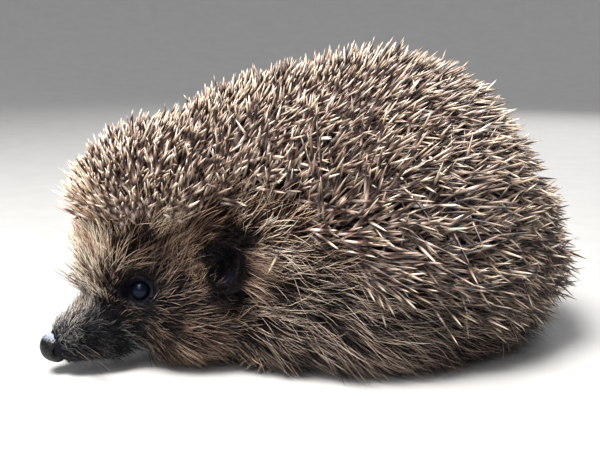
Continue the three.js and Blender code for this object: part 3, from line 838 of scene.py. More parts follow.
def build_fur():
    """The coat's hair, region by region: each is a density over the skin's faces, from
    where the coat is hairy, how far behind the nose it is and how high."""
    side, height = np.abs(CELL_MIDDLES[..., 0]), CELL_MIDDLES[..., 2]
    behind = CELL_MIDDLES[..., 1] - NOSE_TIP
    hairy = 1 - smoothstep(0.1, 0.5, CELL_TRAITS["quilled"])
    facial = 1 - smoothstep(58, 67, behind)
    snouty = (1 - smoothstep(22, 30, behind)) * (1 - smoothstep(22, 30, height))
    snouty *= 1 - 0.8 * smoothstep(7, 4, side) * smoothstep(17, 20, height)
    under = 1 - smoothstep(5, 12, height)
    snout = hairy * facial * snouty
    face = hairy * facial * (1 - snouty)
    body = hairy * (1 - facial) * (1 - under * 0.7)
    belly = hairy * (1 - facial) * under
    coats = [  # where, tufts, strands in each, seed, profile, width, looseness, share of the
        # table's length, how far apart the strands start, pale share, degrees raised, contrast
        ("fur_snout", snout, 3600, 4, 41, SHORT_PROFILE, 0.22, 1.7, 1.0, 0.6, 0.32, 0, 0.7),
        ("fur_face_1", face, 3000, 4, 42, HAIR_PROFILE, 0.29, 0.7, 0.85, 0.9, 0.1, -4, 1),
        ("fur_face_2", face, 3400, 3, 43, HAIR_PROFILE, 0.26, 0.9, 1.3, 1.1, 0.6, 3, 1),
        ("fur_skirt_1", body, 3000, 4, 44, HAIR_PROFILE, 0.33, 1.1, 0.9, 1.4, 0.15, -3, 1),
        ("fur_skirt_2", body, 3600, 3, 45, HAIR_PROFILE, 0.26, 1.0, 1.1, 1.5, 0.55, 3, 1),
        ("fur_belly", belly, 1200, 5, 46, HAIR_PROFILE, 0.3, 1.2, 1.0, 1.4, 0.4, 0, 1),
    ]
    return [tufts(*coat) for coat in coats]


# ---- Eyes, lids and ears ------------------------------------------------------------------

WHOLE_MAP = (0.01, 0.01, 0.99, 0.99)
EYE_RINGS = 40
EYE_SIDES = 64
LID_SIDES = 96
LID_SECTION = [  # out from the opening, above the ball's edge
    (0.15, -1.2), (-0.02, -0.35), (-0.04, 0.02), (0.04, 0.2), (0.28, 0.32), (0.6, 0.3), (0.85, 0.1),
    (1.1, 0.24), (1.5, 0.36), (1.9, 0.4), (2.3, 0.5), (2.8, 0.42), (3.2, -0.1), (2.6, -1.4),
]
LID_OPENING = 3.8
LID_FOLD = 0.9
LID_AREAS = {LEFT: (0.02, 0.90, 0.22, 0.99), RIGHT: (0.26, 0.90, 0.46, 0.99)}
CORNER_SLANT = 0.25
CORNER_REACH = 1.3
EAR_SIDES = 72
EAR_SECTION = [  # radius and height of the section, from the bowl over the rim to the root
    (1.6, -5.0), (3.2, -4.5), (4.6, -3.3), (5.6, -1.7), (6.2, -0.2), (6.5, 0.5), (6.8, 0.7),
    (7.1, 0.5), (7.15, -0.1), (6.8, -1.3), (6.1, -2.8), (5.4, -4.4), (5.0, -6.2), (4.0, -7.6), (2.0, -8.2),
]
EAR_TALL = 1.16
EAR_AREAS = {LEFT: (0.50, 0.90, 0.62, 0.99), RIGHT: (0.64, 0.90, 0.76, 0.99)}


def frame_of(facing, upward):
    """Three unit vectors: across, up and out of a face."""
    out = unit(np.array(facing, float))
    across = unit(np.cross(np.array(upward, float), out))
    return across, np.cross(out, across), out


def turned_profile(centre, axes, outline, sides, wide=1.0, tall=1.0, rise=0.0):
    """Rings turned about the third axis, of radius r at height h from the outline. Wide,
    tall and rise are numbers for the angles that stretch the rings and lift their edge."""
    across, upward, out = axes
    angle = round_turn(sides)
    radii, heights = np.array(outline, float).T[..., None]
    x, y = radii * np.cos(angle) * wide, radii * np.sin(angle) * tall
    z = heights + radii * rise
    return centre + x[..., None] * across + y[..., None] * upward + z[..., None] * out


def eyeball(side):
    """A smooth ball: rings of radius r sin p at height r cos p along the eye's look."""
    look = mirrored(EYE_LOOK, side)
    centre = mirrored(EYE_CENTRE, side)
    polar = math.pi * (np.arange(1, EYE_RINGS) / EYE_RINGS)
    outline = [(EYE_RADIUS * math.sin(p), EYE_RADIUS * math.cos(p)) for p in polar]
    grid = turned_profile(centre, frame_of(look, (0, 0, 1)), outline, EYE_SIDES)
    ball = Shells()
    ball.add(closed_grid(grid, centre + EYE_RADIUS * look, centre - EYE_RADIUS * look, WHOLE_MAP))
    return ball.finish("eyeball_left" if side == LEFT else "eyeball_right")


def lids(side):
    """Eyelids: a ring round the eye whose section runs from under the fur, over a soft
    fold, to a rolled edge on the ball. The opening is drawn out towards the snout, and
    the upper lid hangs over the ball. With them comes their shade, which is palest on
    the fold behind and below the eye."""
    look = mirrored(EYE_LOOK, side)
    across, tall, _ = frame_of(look, (0, 0, 1))
    angle = round_turn(LID_SIDES)
    forward = np.cos(angle - (math.pi + CORNER_SLANT if side == LEFT else -CORNER_SLANT))
    upper = np.maximum(np.sin(angle), 0)
    opening = LID_OPENING + 0.15 * forward**2 + CORNER_REACH * np.maximum(forward, 0) ** 10 - 0.2 * upper
    on_ball = np.sqrt(np.maximum(EYE_RADIUS**2 - opening**2, 0.4))
    out, rise = np.array(LID_SECTION).T[..., None]
    radius = opening + out
    level = on_ball + rise + 0.18 * upper
    grid = (
        mirrored(EYE_CENTRE, side) + (radius * np.cos(angle))[..., None] * across
        + (radius * np.sin(angle))[..., None] * tall + level[..., None] * look
    )
    rearwards = 0.5 - 0.5 * forward[None, :] - 0.3 * np.sin(angle)[None, :]
    return ring_shape(grid, LID_AREAS[side]), (bell(out - LID_FOLD, 1.1) * rearwards.clip(0, 1)).ravel()


def ear_axes(side):
    """The ear's width, height and facing."""
    across, upward, out = frame_of(mirrored(EAR_FACING, side), mirrored(EAR_UP, side))
    return across * side, upward, out


def ear(side):
    """A thin cup: a bowl, a rolled rim and an outside that runs in under the fur. Its top
    is tall, its rim rises at the rear, and the low front edge sinks into the cheek."""
    centre = mirrored(EAR_CENTRE, side)
    axes = ear_axes(side)
    angle = round_turn(EAR_SIDES)
    front_low = np.maximum(np.cos(angle - math.radians(215)), 0) ** 2
    tall, rise = EAR_TALL + 0.05 * np.sin(angle), 0.10 * np.cos(angle) - 0.32 * front_low
    grid = turned_profile(centre, axes, EAR_SECTION, EAR_SIDES, tall=tall, rise=rise)
    grid = grid + 0.22 * ripple(grid * [side, 1, 1], 2.6, 61)[..., None] * axes[2]
    if side == RIGHT:
        grid = grid[:, ::-1]
    start, end = (centre + EAR_SECTION[stop][1] * axes[2] for stop in (0, -1))
    return closed_grid(grid, start, end, EAR_AREAS[side])


# ---- Legs, feet and tail ------------------------------------------------------------------
# A limb's stops are places with a radius. How each kind of limb is made is its number of
# rings and sides, its height as a share of its width, its hairs and their length, and how
# bare its skin is.

FRONT_LEG = [(20, 93, 22, 7), (19, 93, 12, 6.4), (18.6, 93, 6.5, 5.2), (18.5, 90, 4.2, 4.4)]
FRONT_SOLE = [(18.5, 95.5, 4.8, 4.2), (18.5, 91, 4.6, 4.8), (18.6, 84, 4.6, 5.6), (18.8, 79.5, 3.9, 4.4)]
HIND_LEG = [(33, 171, 24, 8), (34, 175, 13, 7), (34, 178, 7, 5.6), (33.6, 178, 4.6, 4.6)]
HIND_SOLE = [(33.4, 181.5, 4.8, 4.2), (33.6, 174, 4.7, 4.9), (35, 162, 4.6, 5.6), (36, 154.5, 4.0, 4.6)]
TAIL = [(0, 196, 15, 3.8), (0, 203, 9.5, 3.2), (0, 208.5, 6.4, 2.2), (0, 212.5, 5.0, 1.2)]
FRONT_TOES = ((18.5, 84, 3.2), 8, 12, 7.5)  # ball of the foot, heading and spread in degrees, length
HIND_TOES = ((36, 158, 3.3), 6, 10, 9)
LEG_MAKE = (22, 28, 1.0, 260, 4.5, 0.2)
SOLE_MAKE = (20, 28, 0.82, 200, 2.8, 0.3)
TOE_MAKE = (12, 14, 1.0, 36, 1.6, 0.3)
TAIL_MAKE = (18, 20, 1.0, 300, 6.5, 0.1)
CLAW_RINGS = 10
TOES = 5
TOE_RADII = (2.0, 1.8, 1.75)
CLAW_RADII = (0.9, 0.75, 0.25)
TUFT_OF_FOOT = 3
PATH_STEPS = 200
PATH_SMOOTHING = 25


def limb_rings(stops, rings, sides, flat, end_power=6):
    """The middles and points of a limb's rings, of radius r(t) round a smoothed path from
    stop to stop, drawn in to a point at both ends by (1 - |2 t - 1|^n)^(1/2)."""
    stops = np.array(stops, float)
    given = np.linspace(0, 1, len(stops))
    shares = 0.5 - 0.5 * np.cos(math.pi * np.arange(1, rings) / rings)
    fine = np.linspace(0, 1, PATH_STEPS)
    curve = np.stack([np.interp(fine, given, stops[:, k]) for k in range(4)], -1)
    kernel = np.ones(PATH_SMOOTHING) / PATH_SMOOTHING
    ends = PATH_SMOOTHING // 2
    padded = np.concatenate([np.repeat(curve[:1], ends, 0), curve, np.repeat(curve[-1:], ends, 0)])
    smooth = np.stack([np.convolve(padded[:, k], kernel, "valid") for k in range(4)], -1)
    smooth[0, :3], smooth[-1, :3] = curve[0, :3], curve[-1, :3]
    middle = np.stack([np.interp(shares, fine, smooth[:, k]) for k in range(3)], -1)
    radius = np.interp(shares, fine, smooth[:, 3]) * np.sqrt(1 - np.abs(2 * shares - 1) ** end_power)
    tangent = unit(np.gradient(middle, axis=0))
    across = unit(np.cross(tangent, [0.0, 0.35, 1.0]))
    upward = np.cross(across, tangent)
    angle = round_turn(sides)[None, :, None]
    spokes = np.cos(angle) * across[:, None] + flat * np.sin(angle) * upward[:, None]
    grid = middle[:, None] + radius[:, None, None] * spokes
    return middle, grid


def lofted(stops, rings, sides, area, flat=1.0):
    """A rounded limb closed at both ends."""
    _, grid = limb_rings(stops, rings, sides, flat)
    return closed_grid(grid, stops[0][:3], stops[-1][:3], area)


def placed(stops, side):
    """Stops of a path on one side: place and radius."""
    return [(*mirrored(at(*stop[:3]), side), stop[3]) for stop in stops]


def toe_stops(ball, heading, spread, length, turn, side):
    """A toe that leaves the ball of the foot, arches and comes down on its pad, and the
    claw at its end, which bends down."""
    angle = math.radians(heading + spread * turn)
    ahead = np.array([math.sin(angle), -math.cos(angle), 0])
    start = at(*ball) + [2.3 * turn, 0.5 * turn * turn, 0]
    reach = length * (1 - 0.06 * turn * turn)
    knuckle = start + ahead * reach * 0.45 + [0, 0, 1.3]
    pad = start + ahead * reach * 0.85 + [0, 0, -0.9]
    claw = (pad + [0, 0, 0.9], pad + ahead * 2.4 + [0, 0, 1.0], pad + ahead * 4.6 + [0, 0, -1.1])
    return (
        [(*mirrored(place, side), radius) for place, radius in zip((start, knuckle, pad), TOE_RADII)],
        [(*mirrored(place, side), radius) for place, radius in zip(claw, CLAW_RADII)],
    )


def build_limbs():
    """The stops and make of every limb, and the stops of every claw."""
    limbs, claws = [], []
    for side in (LEFT, RIGHT):
        for leg, sole, toes in ((FRONT_LEG, FRONT_SOLE, FRONT_TOES), (HIND_LEG, HIND_SOLE, HIND_TOES)):
            limbs += [(placed(leg, side), LEG_MAKE), (placed(sole, side), SOLE_MAKE)]
            for turn in np.arange(TOES) - (TOES - 1) / 2:
                toe, claw = toe_stops(*toes, turn, side)
                limbs.append((toe, TOE_MAKE))
                claws.append(claw)
    return [*limbs, (placed(TAIL, LEFT), TAIL_MAKE)], claws


def limb_area(number):
    """A limb's own rectangle in the map's upper strip, twenty to a row."""
    column, row = number % 20, number // 20
    return 0.01 + 0.049 * column, 0.825 + 0.024 * row, 0.055 + 0.049 * column, 0.846 + 0.024 * row


limbs, claw_stops = build_limbs()


def build_skin():
    """The skin in one mesh: body, lids, ears, legs, feet and tail. Its shade follows the
    coat's, and it is bare on the muzzle, in the hollows, on the lids and ears."""
    parts = Shells()
    body = closed_grid(skin_grid, skin_grid[0].mean(0), skin_grid[-1].mean(0), SKIN_AREA)
    bare = 1 - smoothstep(20, 44, body[0][:, 1] - NOSE_TIP)
    for hollow in HOLLOWS:
        bare = np.maximum(bare, 1 - smoothstep(1, 1.4, outward_from(hollow, body[0])[0]))
    parts.add(body, shade=split_traits(coat_traits(body[0]))["shade"], bare=bare)
    for side in (LEFT, RIGHT):
        shape, shade = lids(side)
        parts.add(shape, shade=shade, bare=1)
    for side in (LEFT, RIGHT):
        parts.add(ear(side), shade=0.05, bare=1)
    for number, (stops, make) in enumerate(limbs):
        rings, sides, flat, _, _, bare = make
        parts.add(lofted(stops, rings, sides, limb_area(number), flat), shade=0.3, bare=bare)
    return parts.finish("skin")


def build_claws():
    """A tapered, bent claw on each toe."""
    parts = Shells()
    for stops in claw_stops:
        parts.add(lofted(stops, CLAW_RINGS, CLAW_RINGS, WHOLE_MAP))
    return parts.finish("claws")


# ---- Fine hair on the ears, lids, muzzle, brow and limbs -------------------------------------

EAR_HAIR = [  # hairs, angles, radii, height, way (out from the middle, back, up, out), length, shade, width
    (620, -130, 160, 6.1, 7.3, -0.1, (0.5, 0.4, 0.2, 0.9), 2.3, 0.08, 0.15),
    (460, 60, 185, 7.4, 13.0, -1.2, (0.1, 0.8, 0.3, 0.6), 7.0, 0.07, 0.30),
    (110, -35, 65, 6.8, 10.0, -1.8, (0.3, 1.0, 0.15, 0.45), 14.0, 0.6, 0.24),
    (90, 160, 235, 8.1, 11.5, -2.0, (0.35, 0.2, 1.0, 0.4), 7.0, 0.68, 0.22),
    (260, -110, 10, 6.5, 7.8, -0.5, (0.3, 0.8, 0.0, 0.6), 3.2, 0.08, 0.2),
    (420, -140, 40, 6.0, 7.2, -0.1, (-0.4, 0.2, 0.2, 0.9), 2.6, 0.12, 0.2),
    (130, 235, 290, 8.0, 12.0, -2.2, (0.2, 0.9, -0.2, 0.3), 6.0, 0.10, 0.28),
    (360, -180, 180, 1.0, 6.2, -0.2, (-0.3, -0.1, 0.4, 0.8), 2.8, 0.2, 0.13),
]
EAR_RIM = 7
LID_HAIRS = 480
WHISKERS = [  # hairs, place, spread, way, length
    (18, (8, 16, 12), (1, 5, 3), (0.7, 0.75, -0.15), 16),
    (5, (12, 31, 42), (1, 2, 2), (0.5, 0.3, 0.8), 12),
    (5, (20, 40, 18), (1, 3, 3), (0.6, 0.8, -0.1), 14),
]
BRISTLES = 260


def ear_fur():
    """The ears' own hair: a velvet along the rim, dark hair that sweeps back over the
    top, a fringe behind, tan hairs that lean over the front edge, short ones down the
    rear and inside the rim, dark ones under the ear, and fine ones in the bowl."""
    rng = np.random.default_rng(51)
    radii, levels = np.array(EAR_SECTION[:EAR_RIM]).T
    parts = []
    for side in (LEFT, RIGHT):
        rear, upward, out = ear_axes(side)
        for hairs, first, last, near, far, lower, ways, length, shade, width in EAR_HAIR:
            angle = np.radians(rng.uniform(first, last, hairs))
            radius = rng.uniform(near, far, hairs)
            spoke = np.cos(angle)[:, None] * rear + EAR_TALL * np.sin(angle)[:, None] * upward
            level = (np.interp(radius, radii, levels) + lower)[:, None]
            way = ways[0] * unit(spoke) + ways[1] * rear + ways[2] * upward + ways[3] * out
            parts.append({
                "root": mirrored(EAR_CENTRE, side) + radius[:, None] * spoke + level * out,
                "way": unit(way + rng.normal(0, 0.26, (hairs, 3))),
                "length": length * rng.uniform(0.7, 1.25, hairs),
                "width": width * rng.uniform(0.8, 1.2, hairs),
                "shade": shade + rng.normal(0, 0.12, hairs),
                "place": np.stack([(angle / 7 + side) / 4 + 0.4, radius / 12], -1),
            })
    hair = gathered(parts)
    count = len(hair["root"])
    bends = np.zeros((count, 3)) + [0, 0.05, -0.12] + rng.normal(0, 0.08, (count, 3))
    values = {"shade": hair["shade"], "warm": np.full(count, 0.8)}
    return strands("fur_ears", hair["root"], hair["place"], hair["way"], bends, hair["length"],
                   hair["width"], HAIR_PROFILE, 3, values)


def lid_fur():
    """Very short dark hair on the folds of the lids, lying away from the eye."""
    rng = np.random.default_rng(55)
    parts = []
    for side in (LEFT, RIGHT):
        look = mirrored(EYE_LOOK, side)
        across, upward, _ = frame_of(look, (0, 0, 1))
        angle = rng.uniform(0, 2 * math.pi, LID_HAIRS)
        radius = rng.uniform(5.2, 6.9, LID_HAIRS)
        spoke = np.cos(angle)[:, None] * across + np.sin(angle)[:, None] * upward
        parts.append({
            "root": mirrored(EYE_CENTRE, side) + radius[:, None] * spoke + 2.5 * look,
            "way": unit(0.7 * spoke + 0.3 * look + [0, 0.45, 0] + rng.normal(0, 0.2, (LID_HAIRS, 3))),
            "place": np.stack([angle / 14 + 0.25 + 0.25 * side, radius / 7], -1),
        })
    hair = gathered(parts)
    count = len(hair["root"])
    values = {"shade": rng.normal(0.16, 0.09, count), "warm": np.full(count, 0.5)}
    return strands("fur_lids", hair["root"], hair["place"], hair["way"], rng.normal(0, 0.08, (count, 3)),
                   rng.uniform(1.3, 2.4, count), np.full(count, 0.13), SHORT_PROFILE, 3, values)


def nearest_skin(points):
    """The skin's points, normals and map places nearest to some places."""
    flat = skin_grid.reshape(-1, 3)
    index = ((points[:, None] - flat[None]) ** 2).sum(-1).argmin(1)
    ring, side = index // SKIN_SIDES, index % SKIN_SIDES
    place = np.stack([side / SKIN_SIDES, (ring + 1) / (len(skin_grid) + 1)], -1)
    return flat[index], skin_normals.reshape(-1, 3)[index], place


def whiskers():
    """Long thin bristles on each side of the muzzle, over the eyes and on the cheeks,
    that leave the skin at a steep angle and sag."""
    rng = np.random.default_rng(52)
    parts = []
    for side in (LEFT, RIGHT):
        for hairs, place, spread, way, length in WHISKERS:
            near = at(*place) + rng.uniform(-1, 1, (hairs, 3)) * spread
            root, normal, on_skin = nearest_skin(near * [side, 1, 1])
            parts.append({
                "root": root,
                "way": unit(0.35 * normal + mirrored(way, side) + rng.normal(0, 0.22, (hairs, 3))),
                "place": on_skin,
                "length": length * rng.uniform(0.6, 1.2, hairs),
            })
    hair = gathered(parts)
    count = len(hair["root"])
    bends = rng.normal(0, 0.08, (count, 3)) + [0, 0.1, -0.22]
    values = {"shade": rng.uniform(0.25, 0.75, count), "warm": np.full(count, 0.4)}
    return strands("whiskers", hair["root"], hair["place"], hair["way"], bends, hair["length"],
                   np.full(count, 0.14), WHISKER_PROFILE, 3, values)


def brow_bristles():
    """Thin pale bristles among the lowest quills of the brow, leaning forwards."""
    rng = np.random.default_rng(53)
    near = at(0, 17, 60) + rng.uniform(-1, 1, (BRISTLES, 3)) * [24, 6, 12]
    root, normal, place = nearest_skin(near)
    way = unit(0.6 * normal + [0, -0.1, 0.9] + rng.normal(0, 0.2, (BRISTLES, 3)))
    lengths = rng.uniform(11, 19, BRISTLES)
    values = {"shade": rng.uniform(0.6, 0.95, BRISTLES), "warm": np.ones(BRISTLES)}
    return strands("fur_brow", root, place, way, rng.normal(0, 0.05, (BRISTLES, 3)), lengths,
                   rng.uniform(0.3, 0.5, BRISTLES), HAIR_PROFILE, 4, values)


def limb_fur():
    """Short hair in small tufts along the legs, the tops of the feet and the tail, lying
    towards their ends. Soles stay bare."""
    rng = np.random.default_rng(54)
    parts = []
    for number, (stops, (rings, sides, flat, hairs, length, _)) in enumerate(limbs):
        middle, grid = limb_rings(stops, rings, sides, flat)
        ring = rng.integers(1, rings - 2, hairs)
        side = rng.integers(0, sides, hairs)
        out = unit(grid[ring, side] - middle[ring])
        ring, side, out = (numbers[out[:, 2] > -0.4] for numbers in (ring, side, out))
        ahead = unit(middle[ring + 1] - middle[ring])
        share = rng.uniform(size=(len(ring), 1))
        low_u, low_v, high_u, high_v = limb_area(number)
        across = low_u + (high_u - low_u) * side / sides
        along = low_v + (high_v - low_v) * (ring + share[:, 0]) / rings
        tuft = {
            "root": grid[ring, side] * (1 - share) + grid[ring + 1, side] * share,
            "way": ahead + 0.35 * out,
            "length": np.full(len(ring), length),
            "place": np.stack([across, along], -1),
        }
        parts.append({key: np.repeat(numbers, TUFT_OF_FOOT, 0) for key, numbers in tuft.items()})
    hair = gathered(parts)
    count = len(hair["root"])
    way = unit(hair["way"] + rng.normal(0, 0.14, (count, 3)))
    lengths = hair["length"] * rng.uniform(0.7, 1.2, count)
    roots = hair["root"] + rng.normal(0, 0.25, (count, 3)) - 0.2 * way
    values = {"shade": 0.34 + rng.normal(0, 0.1, count), "warm": np.ones(count)}
    return strands("fur_limbs", roots, hair["place"], way, rng.normal(0, 0.08, (count, 3)), lengths,
                   np.full(count, 0.26), SHORT_PROFILE, 3, values)


# ---- Nose -----------------------------------------------------------------------------------

NOSE_GRID = (110, 150)
NOSTRIL = ([0.95, 0.05, -0.14], [1, 1, 1.3])  # middle and size, on a ball of radius 1
NOSTRIL_SLIT = ([0.9, 0.4, 0.05], [1, 0.8, 2.4])


def nose_pad():
    """The nose: a rounded pad, flat on top, with a groove down its front and a comma
    shaped nostril on each side that opens backwards, under a raised wing. Each point is
    an ellipsoid's, moved along its ray by bells of its distance from places on a ball."""
    rings, sides = NOSE_GRID
    polar = math.pi * (np.arange(1, rings) / rings)[:, None]
    angle = 2 * math.pi * (np.arange(sides) / sides)[None, :]
    level = -np.cos(polar) + 0 * angle
    ray = np.stack([np.sin(polar) * np.cos(angle), level, np.sin(polar) * np.sin(angle)], -1)
    side, back, up = on_left(ray).transpose(2, 0, 1)

    def reach(middle, size):
        return np.linalg.norm((on_left(ray) - middle) / size, axis=-1)

    hole, slit = reach(*NOSTRIL), reach(*NOSTRIL_SLIT)
    sink = 2.6 * bell(hole, 0.22) + 1.5 * bell(slit, 0.15)
    wing = 0.25 * bell(hole - 0.45, 0.14) * (1 - bell(slit, 0.3))
    wing = wing + 0.3 * bell(back - 0.68, 0.1) * smoothstep(0.2, 0.6, side)
    groove = 0.8 * bell(side, 0.08) * smoothstep(0.25, -0.25, up) * smoothstep(0.2, -0.3, back)
    top = 0.35 * smoothstep(0.55, 1.0, up)
    saddle = 1.9 * bell(reach([0, 0.5, 0.86], [1.5, 1, 1]), 0.42)
    heel = 1.0 * bell(reach([0, 0.35, -0.94], 1), 0.5)
    pebbles = 0.05 * ripple(ray * 5, 0.75, 71) + 0.04 * ripple(ray * 5, 0.5, 72)
    height = wing - sink - groove - top + saddle + heel + pebbles * smoothstep(0.1, 0.5, hole)
    grid = NOSE_CENTRE + ray * (NOSE_RADII + height[..., None])
    front = NOSE_CENTRE + [0, -NOSE_RADII[1] + 0.55, 0]
    rear = NOSE_CENTRE + [0, NOSE_RADII[1], 0]
    pad = Shells()
    pad.add(closed_grid(grid, front, rear, WHOLE_MAP))
    return pad.finish("nose_pad")


# ---- The pieces -----------------------------------------------------------------------------

quills = build_quills()
fur = build_fur()
eyes = [eyeball(LEFT), eyeball(RIGHT)]
fur += [ear_fur(), lid_fur(), whiskers(), brow_bristles()]
nose = nose_pad()
skin = build_skin()
claws = build_claws()
fur.append(limb_fur())


# ---- Materials ----------------------------------------------------------------------------


def linear(code):
    """An sRGB hex value as linear red, green, blue and full alpha."""
    parts = [int(code[place : place + 2], 16) / 255 for place in (1, 3, 5)]
    return [p / 12.92 if p <= 0.04045 else ((p + 0.055) / 1.055) ** 2.4 for p in parts] + [1.0]


def plug(tree, node, inputs):
    """Links a node's inputs to other nodes' sockets, or gives them numbers or colours."""
    for key, value in inputs.items():
        if isinstance(value, bpy.types.NodeSocket):
            tree.links.new(value, node.inputs[key])
        else:
            node.inputs[key].default_value = value


def add(tree, kind, inputs=None, stops=None, **settings):
    """Adds a node with its settings and inputs. Stops are a ramp's places and colours."""
    made = tree.nodes.new(kind)
    for key, value in settings.items():
        setattr(made, key, value)
    plug(tree, made, inputs or {})
    if stops:
        elements = made.color_ramp.elements
        while len(elements) < len(stops):
            elements.new(0.5)
        for element, (place, code) in zip(elements, stops):
            element.position = place
            element.color = linear(code)
    return made


def new_material(name):
    """A material with only its Principled shader and output."""
    material = bpy.data.materials.new(name)
    material.use_nodes = True
    tree = material.node_tree
    return material, tree, tree.nodes["Principled BSDF"]


BROWN_SHADES = [
    (0.0, "#080606"), (0.2, "#1b1211"), (0.36, "#3c2b25"), (0.55, "#7f6351"),
    (0.72, "#b7937a"), (0.88, "#dfc5a9"), (1.0, "#f5e8d2"),
]
GREY_SHADES = [
    (0.0, "#050507"), (0.2, "#0e0e12"), (0.36, "#26262b"), (0.55, "#6e6c6c"),
    (0.72, "#aaa49d"), (0.88, "#d6cfc4"), (1.0, "#f1ece4"),
]
# the dark root stops are painted shade, for the shade deep among the quills; the rest are the quill's own
# bands
QUILL_BANDS = [  # root, pale shaft, dark band, cream tip
    (0.0, "#2e231f"), (0.14, "#6b5a53"), (0.32, "#cdbdb5"), (0.45, "#e0d1c9"), (0.53, "#8c756c"),
    (0.61, "#402d29"), (0.73, "#2a1b17"), (0.79, "#98826f"), (0.86, "#cdbda8"), (1.0, "#e2d7c7"),
]
QUILL_TINTS = [(0.0, "#83746f"), (0.5, "#ded3cd"), (0.8, "#ffffff")]
BAND_SHIFT = 0.24  # how far the bands of one quill lie from another's, as a share of its length
SKIN_GRAINS = 0.9  # grains of a pattern to a millimetre
NOSE_PEBBLES = 1.9
HORN_STREAKS = 0.9
EYE_CLOUDS = 0.7
# heights in mm over which the nose's top is painted pale, a painted highlight
NOSE_SHEEN_HEIGHTS = (12.6, 15.8)


def quill_keratin():
    """Smooth, hard keratin: it shines a little, over a pale pinkish shaft, a dark brown
    band and a cream tip. The dark root is painted shade, for the shade deep in the coat."""
    material, tree, shader = new_material("quill_keratin_banded")
    along, chance, shade = (
        add(tree, "ShaderNodeAttribute", attribute_name=name).outputs["Fac"]
        for name in ("along", "chance", "shade")
    )
    shift = add(tree, "ShaderNodeMath", {0: chance, 1: BAND_SHIFT, 2: -BAND_SHIFT / 2},
                operation="MULTIPLY_ADD")
    place = add(tree, "ShaderNodeMath", {0: along, 1: shift.outputs[0]}, operation="ADD")
    bands = add(tree, "ShaderNodeValToRGB", {"Fac": place.outputs[0]}, stops=QUILL_BANDS)
    tint = add(tree, "ShaderNodeValToRGB", {"Fac": shade}, stops=QUILL_TINTS)
    colour = add(tree, "ShaderNodeMix", {"Factor": 1.0, 6: bands.outputs["Color"], 7: tint.outputs["Color"]},
                 data_type="RGBA", blend_type="MULTIPLY")
    plug(tree, shader, {"Base Color": colour.outputs[2], "Roughness": 0.42, "IOR": 1.55})
    return material


def coat_hair():
    """Coarse, dull hair: its shade runs from near black through brown, or grey on the
    snout, to cream, and is darker at the root."""
    material, tree, shader = new_material("guard_hair_brown")
    along, shade, warm = (
        add(tree, "ShaderNodeAttribute", attribute_name=name).outputs["Fac"]
        for name in ("along", "shade", "warm")
    )
    rise = add(tree, "ShaderNodeMath", {0: along, 1: 0.26, 2: -0.16}, operation="MULTIPLY_ADD")
    level = add(tree, "ShaderNodeMath", {0: shade, 1: rise.outputs[0]}, operation="ADD")
    brown, grey = (
        add(tree, "ShaderNodeValToRGB", {"Fac": level.outputs[0]}, stops=shades).outputs["Color"]
        for shades in (BROWN_SHADES, GREY_SHADES)
    )
    colour = add(tree, "ShaderNodeMix", {"Factor": warm, 6: grey, 7: brown}, data_type="RGBA")
    plug(tree, shader, {"Base Color": colour.outputs[2], "Roughness": 0.6, "Specular IOR Level": 0.18})
    return material


def thin_haired_skin():
    """Dark, matt skin, finely grained: brown under the coat, where it is darkened as painted
    shade in the gaps between quills and hairs, near black where bare, slate on the lids."""
    material, tree, shader = new_material("skin_thin_haired")
    shade, bare = (
        add(tree, "ShaderNodeAttribute", attribute_name=name).outputs["Fac"] for name in ("shade", "bare")
    )
    place = add(tree, "ShaderNodeTexCoord").outputs["Object"]
    noise = add(tree, "ShaderNodeTexNoise", {"Vector": place, "Scale": SKIN_GRAINS / MM, "Detail": 3.0})
    grain = noise.outputs["Fac"]
    mottled = add(tree, "ShaderNodeMath", {0: grain, 1: 0.16, 2: -0.08}, operation="MULTIPLY_ADD")
    # painted shade: the skin's tone is the coat's shade scaled down to 0.3, darker than its own colour, for
    # the shade in the coat's gaps
    level = add(tree, "ShaderNodeMath", {0: shade, 1: 0.3, 2: mottled.outputs[0]}, operation="MULTIPLY_ADD")
    brown = add(tree, "ShaderNodeValToRGB", {"Fac": level.outputs[0]}, stops=BROWN_SHADES)
    slate = add(tree, "ShaderNodeValToRGB", {"Fac": shade}, stops=[(0.4, "#050510"), (1.0, "#1d1f2b")])
    ends = {"Factor": bare, 6: brown.outputs["Color"], 7: slate.outputs["Color"]}
    colour = add(tree, "ShaderNodeMix", ends, data_type="RGBA")
    bump = add(tree, "ShaderNodeBump", {"Height": grain, "Strength": 0.4, "Distance": 0.3 * MM})
    plug(tree, shader, {
        "Base Color": colour.outputs[2], "Normal": bump.outputs["Normal"],
        "Roughness": 0.62, "Specular IOR Level": 0.12,
    })
    return material


def wet_nose():
    """Bare nose leather: near black, finely pebbled and wet; its top is painted pale slate
    grey as a painted highlight, the sheen of light on the wet top.
    """
    material, tree, shader = new_material("nose_leather_wet")
    place = add(tree, "ShaderNodeTexCoord").outputs["Object"]
    pattern = add(tree, "ShaderNodeTexVoronoi", {"Vector": place, "Scale": NOSE_PEBBLES / MM})
    cells = pattern.outputs["Distance"]
    height = add(tree, "ShaderNodeSeparateXYZ", {"Vector": place}).outputs["Z"]
    low, high = NOSE_SHEEN_HEIGHTS
    level = add(tree, "ShaderNodeMapRange", {"Value": height, "From Min": low * MM, "From Max": high * MM})
    pebbles_and_painted_sheen = add(tree, "ShaderNodeMath", {0: cells, 1: -0.5, 2: level.outputs[0]}, operation="MULTIPLY_ADD")
    # the pale last stop is a painted highlight: the top of the nose painted pale for the sheen of light on
    # it
    colour = add(tree, "ShaderNodeValToRGB", {"Fac": pebbles_and_painted_sheen.outputs[0]}, stops=[
        (0.0, "#050509"), (0.35, "#101118"), (0.85, "#9ba0ad"),
    ])
    bump = add(tree, "ShaderNodeBump", {"Height": cells, "Strength": 0.25, "Distance": 0.2 * MM})
    bump.invert = True
    plug(tree, shader, {
        "Base Color": colour.outputs["Color"], "Normal": bump.outputs["Normal"],
        "Roughness": 0.3, "Specular IOR Level": 0.3,
    })
    return material


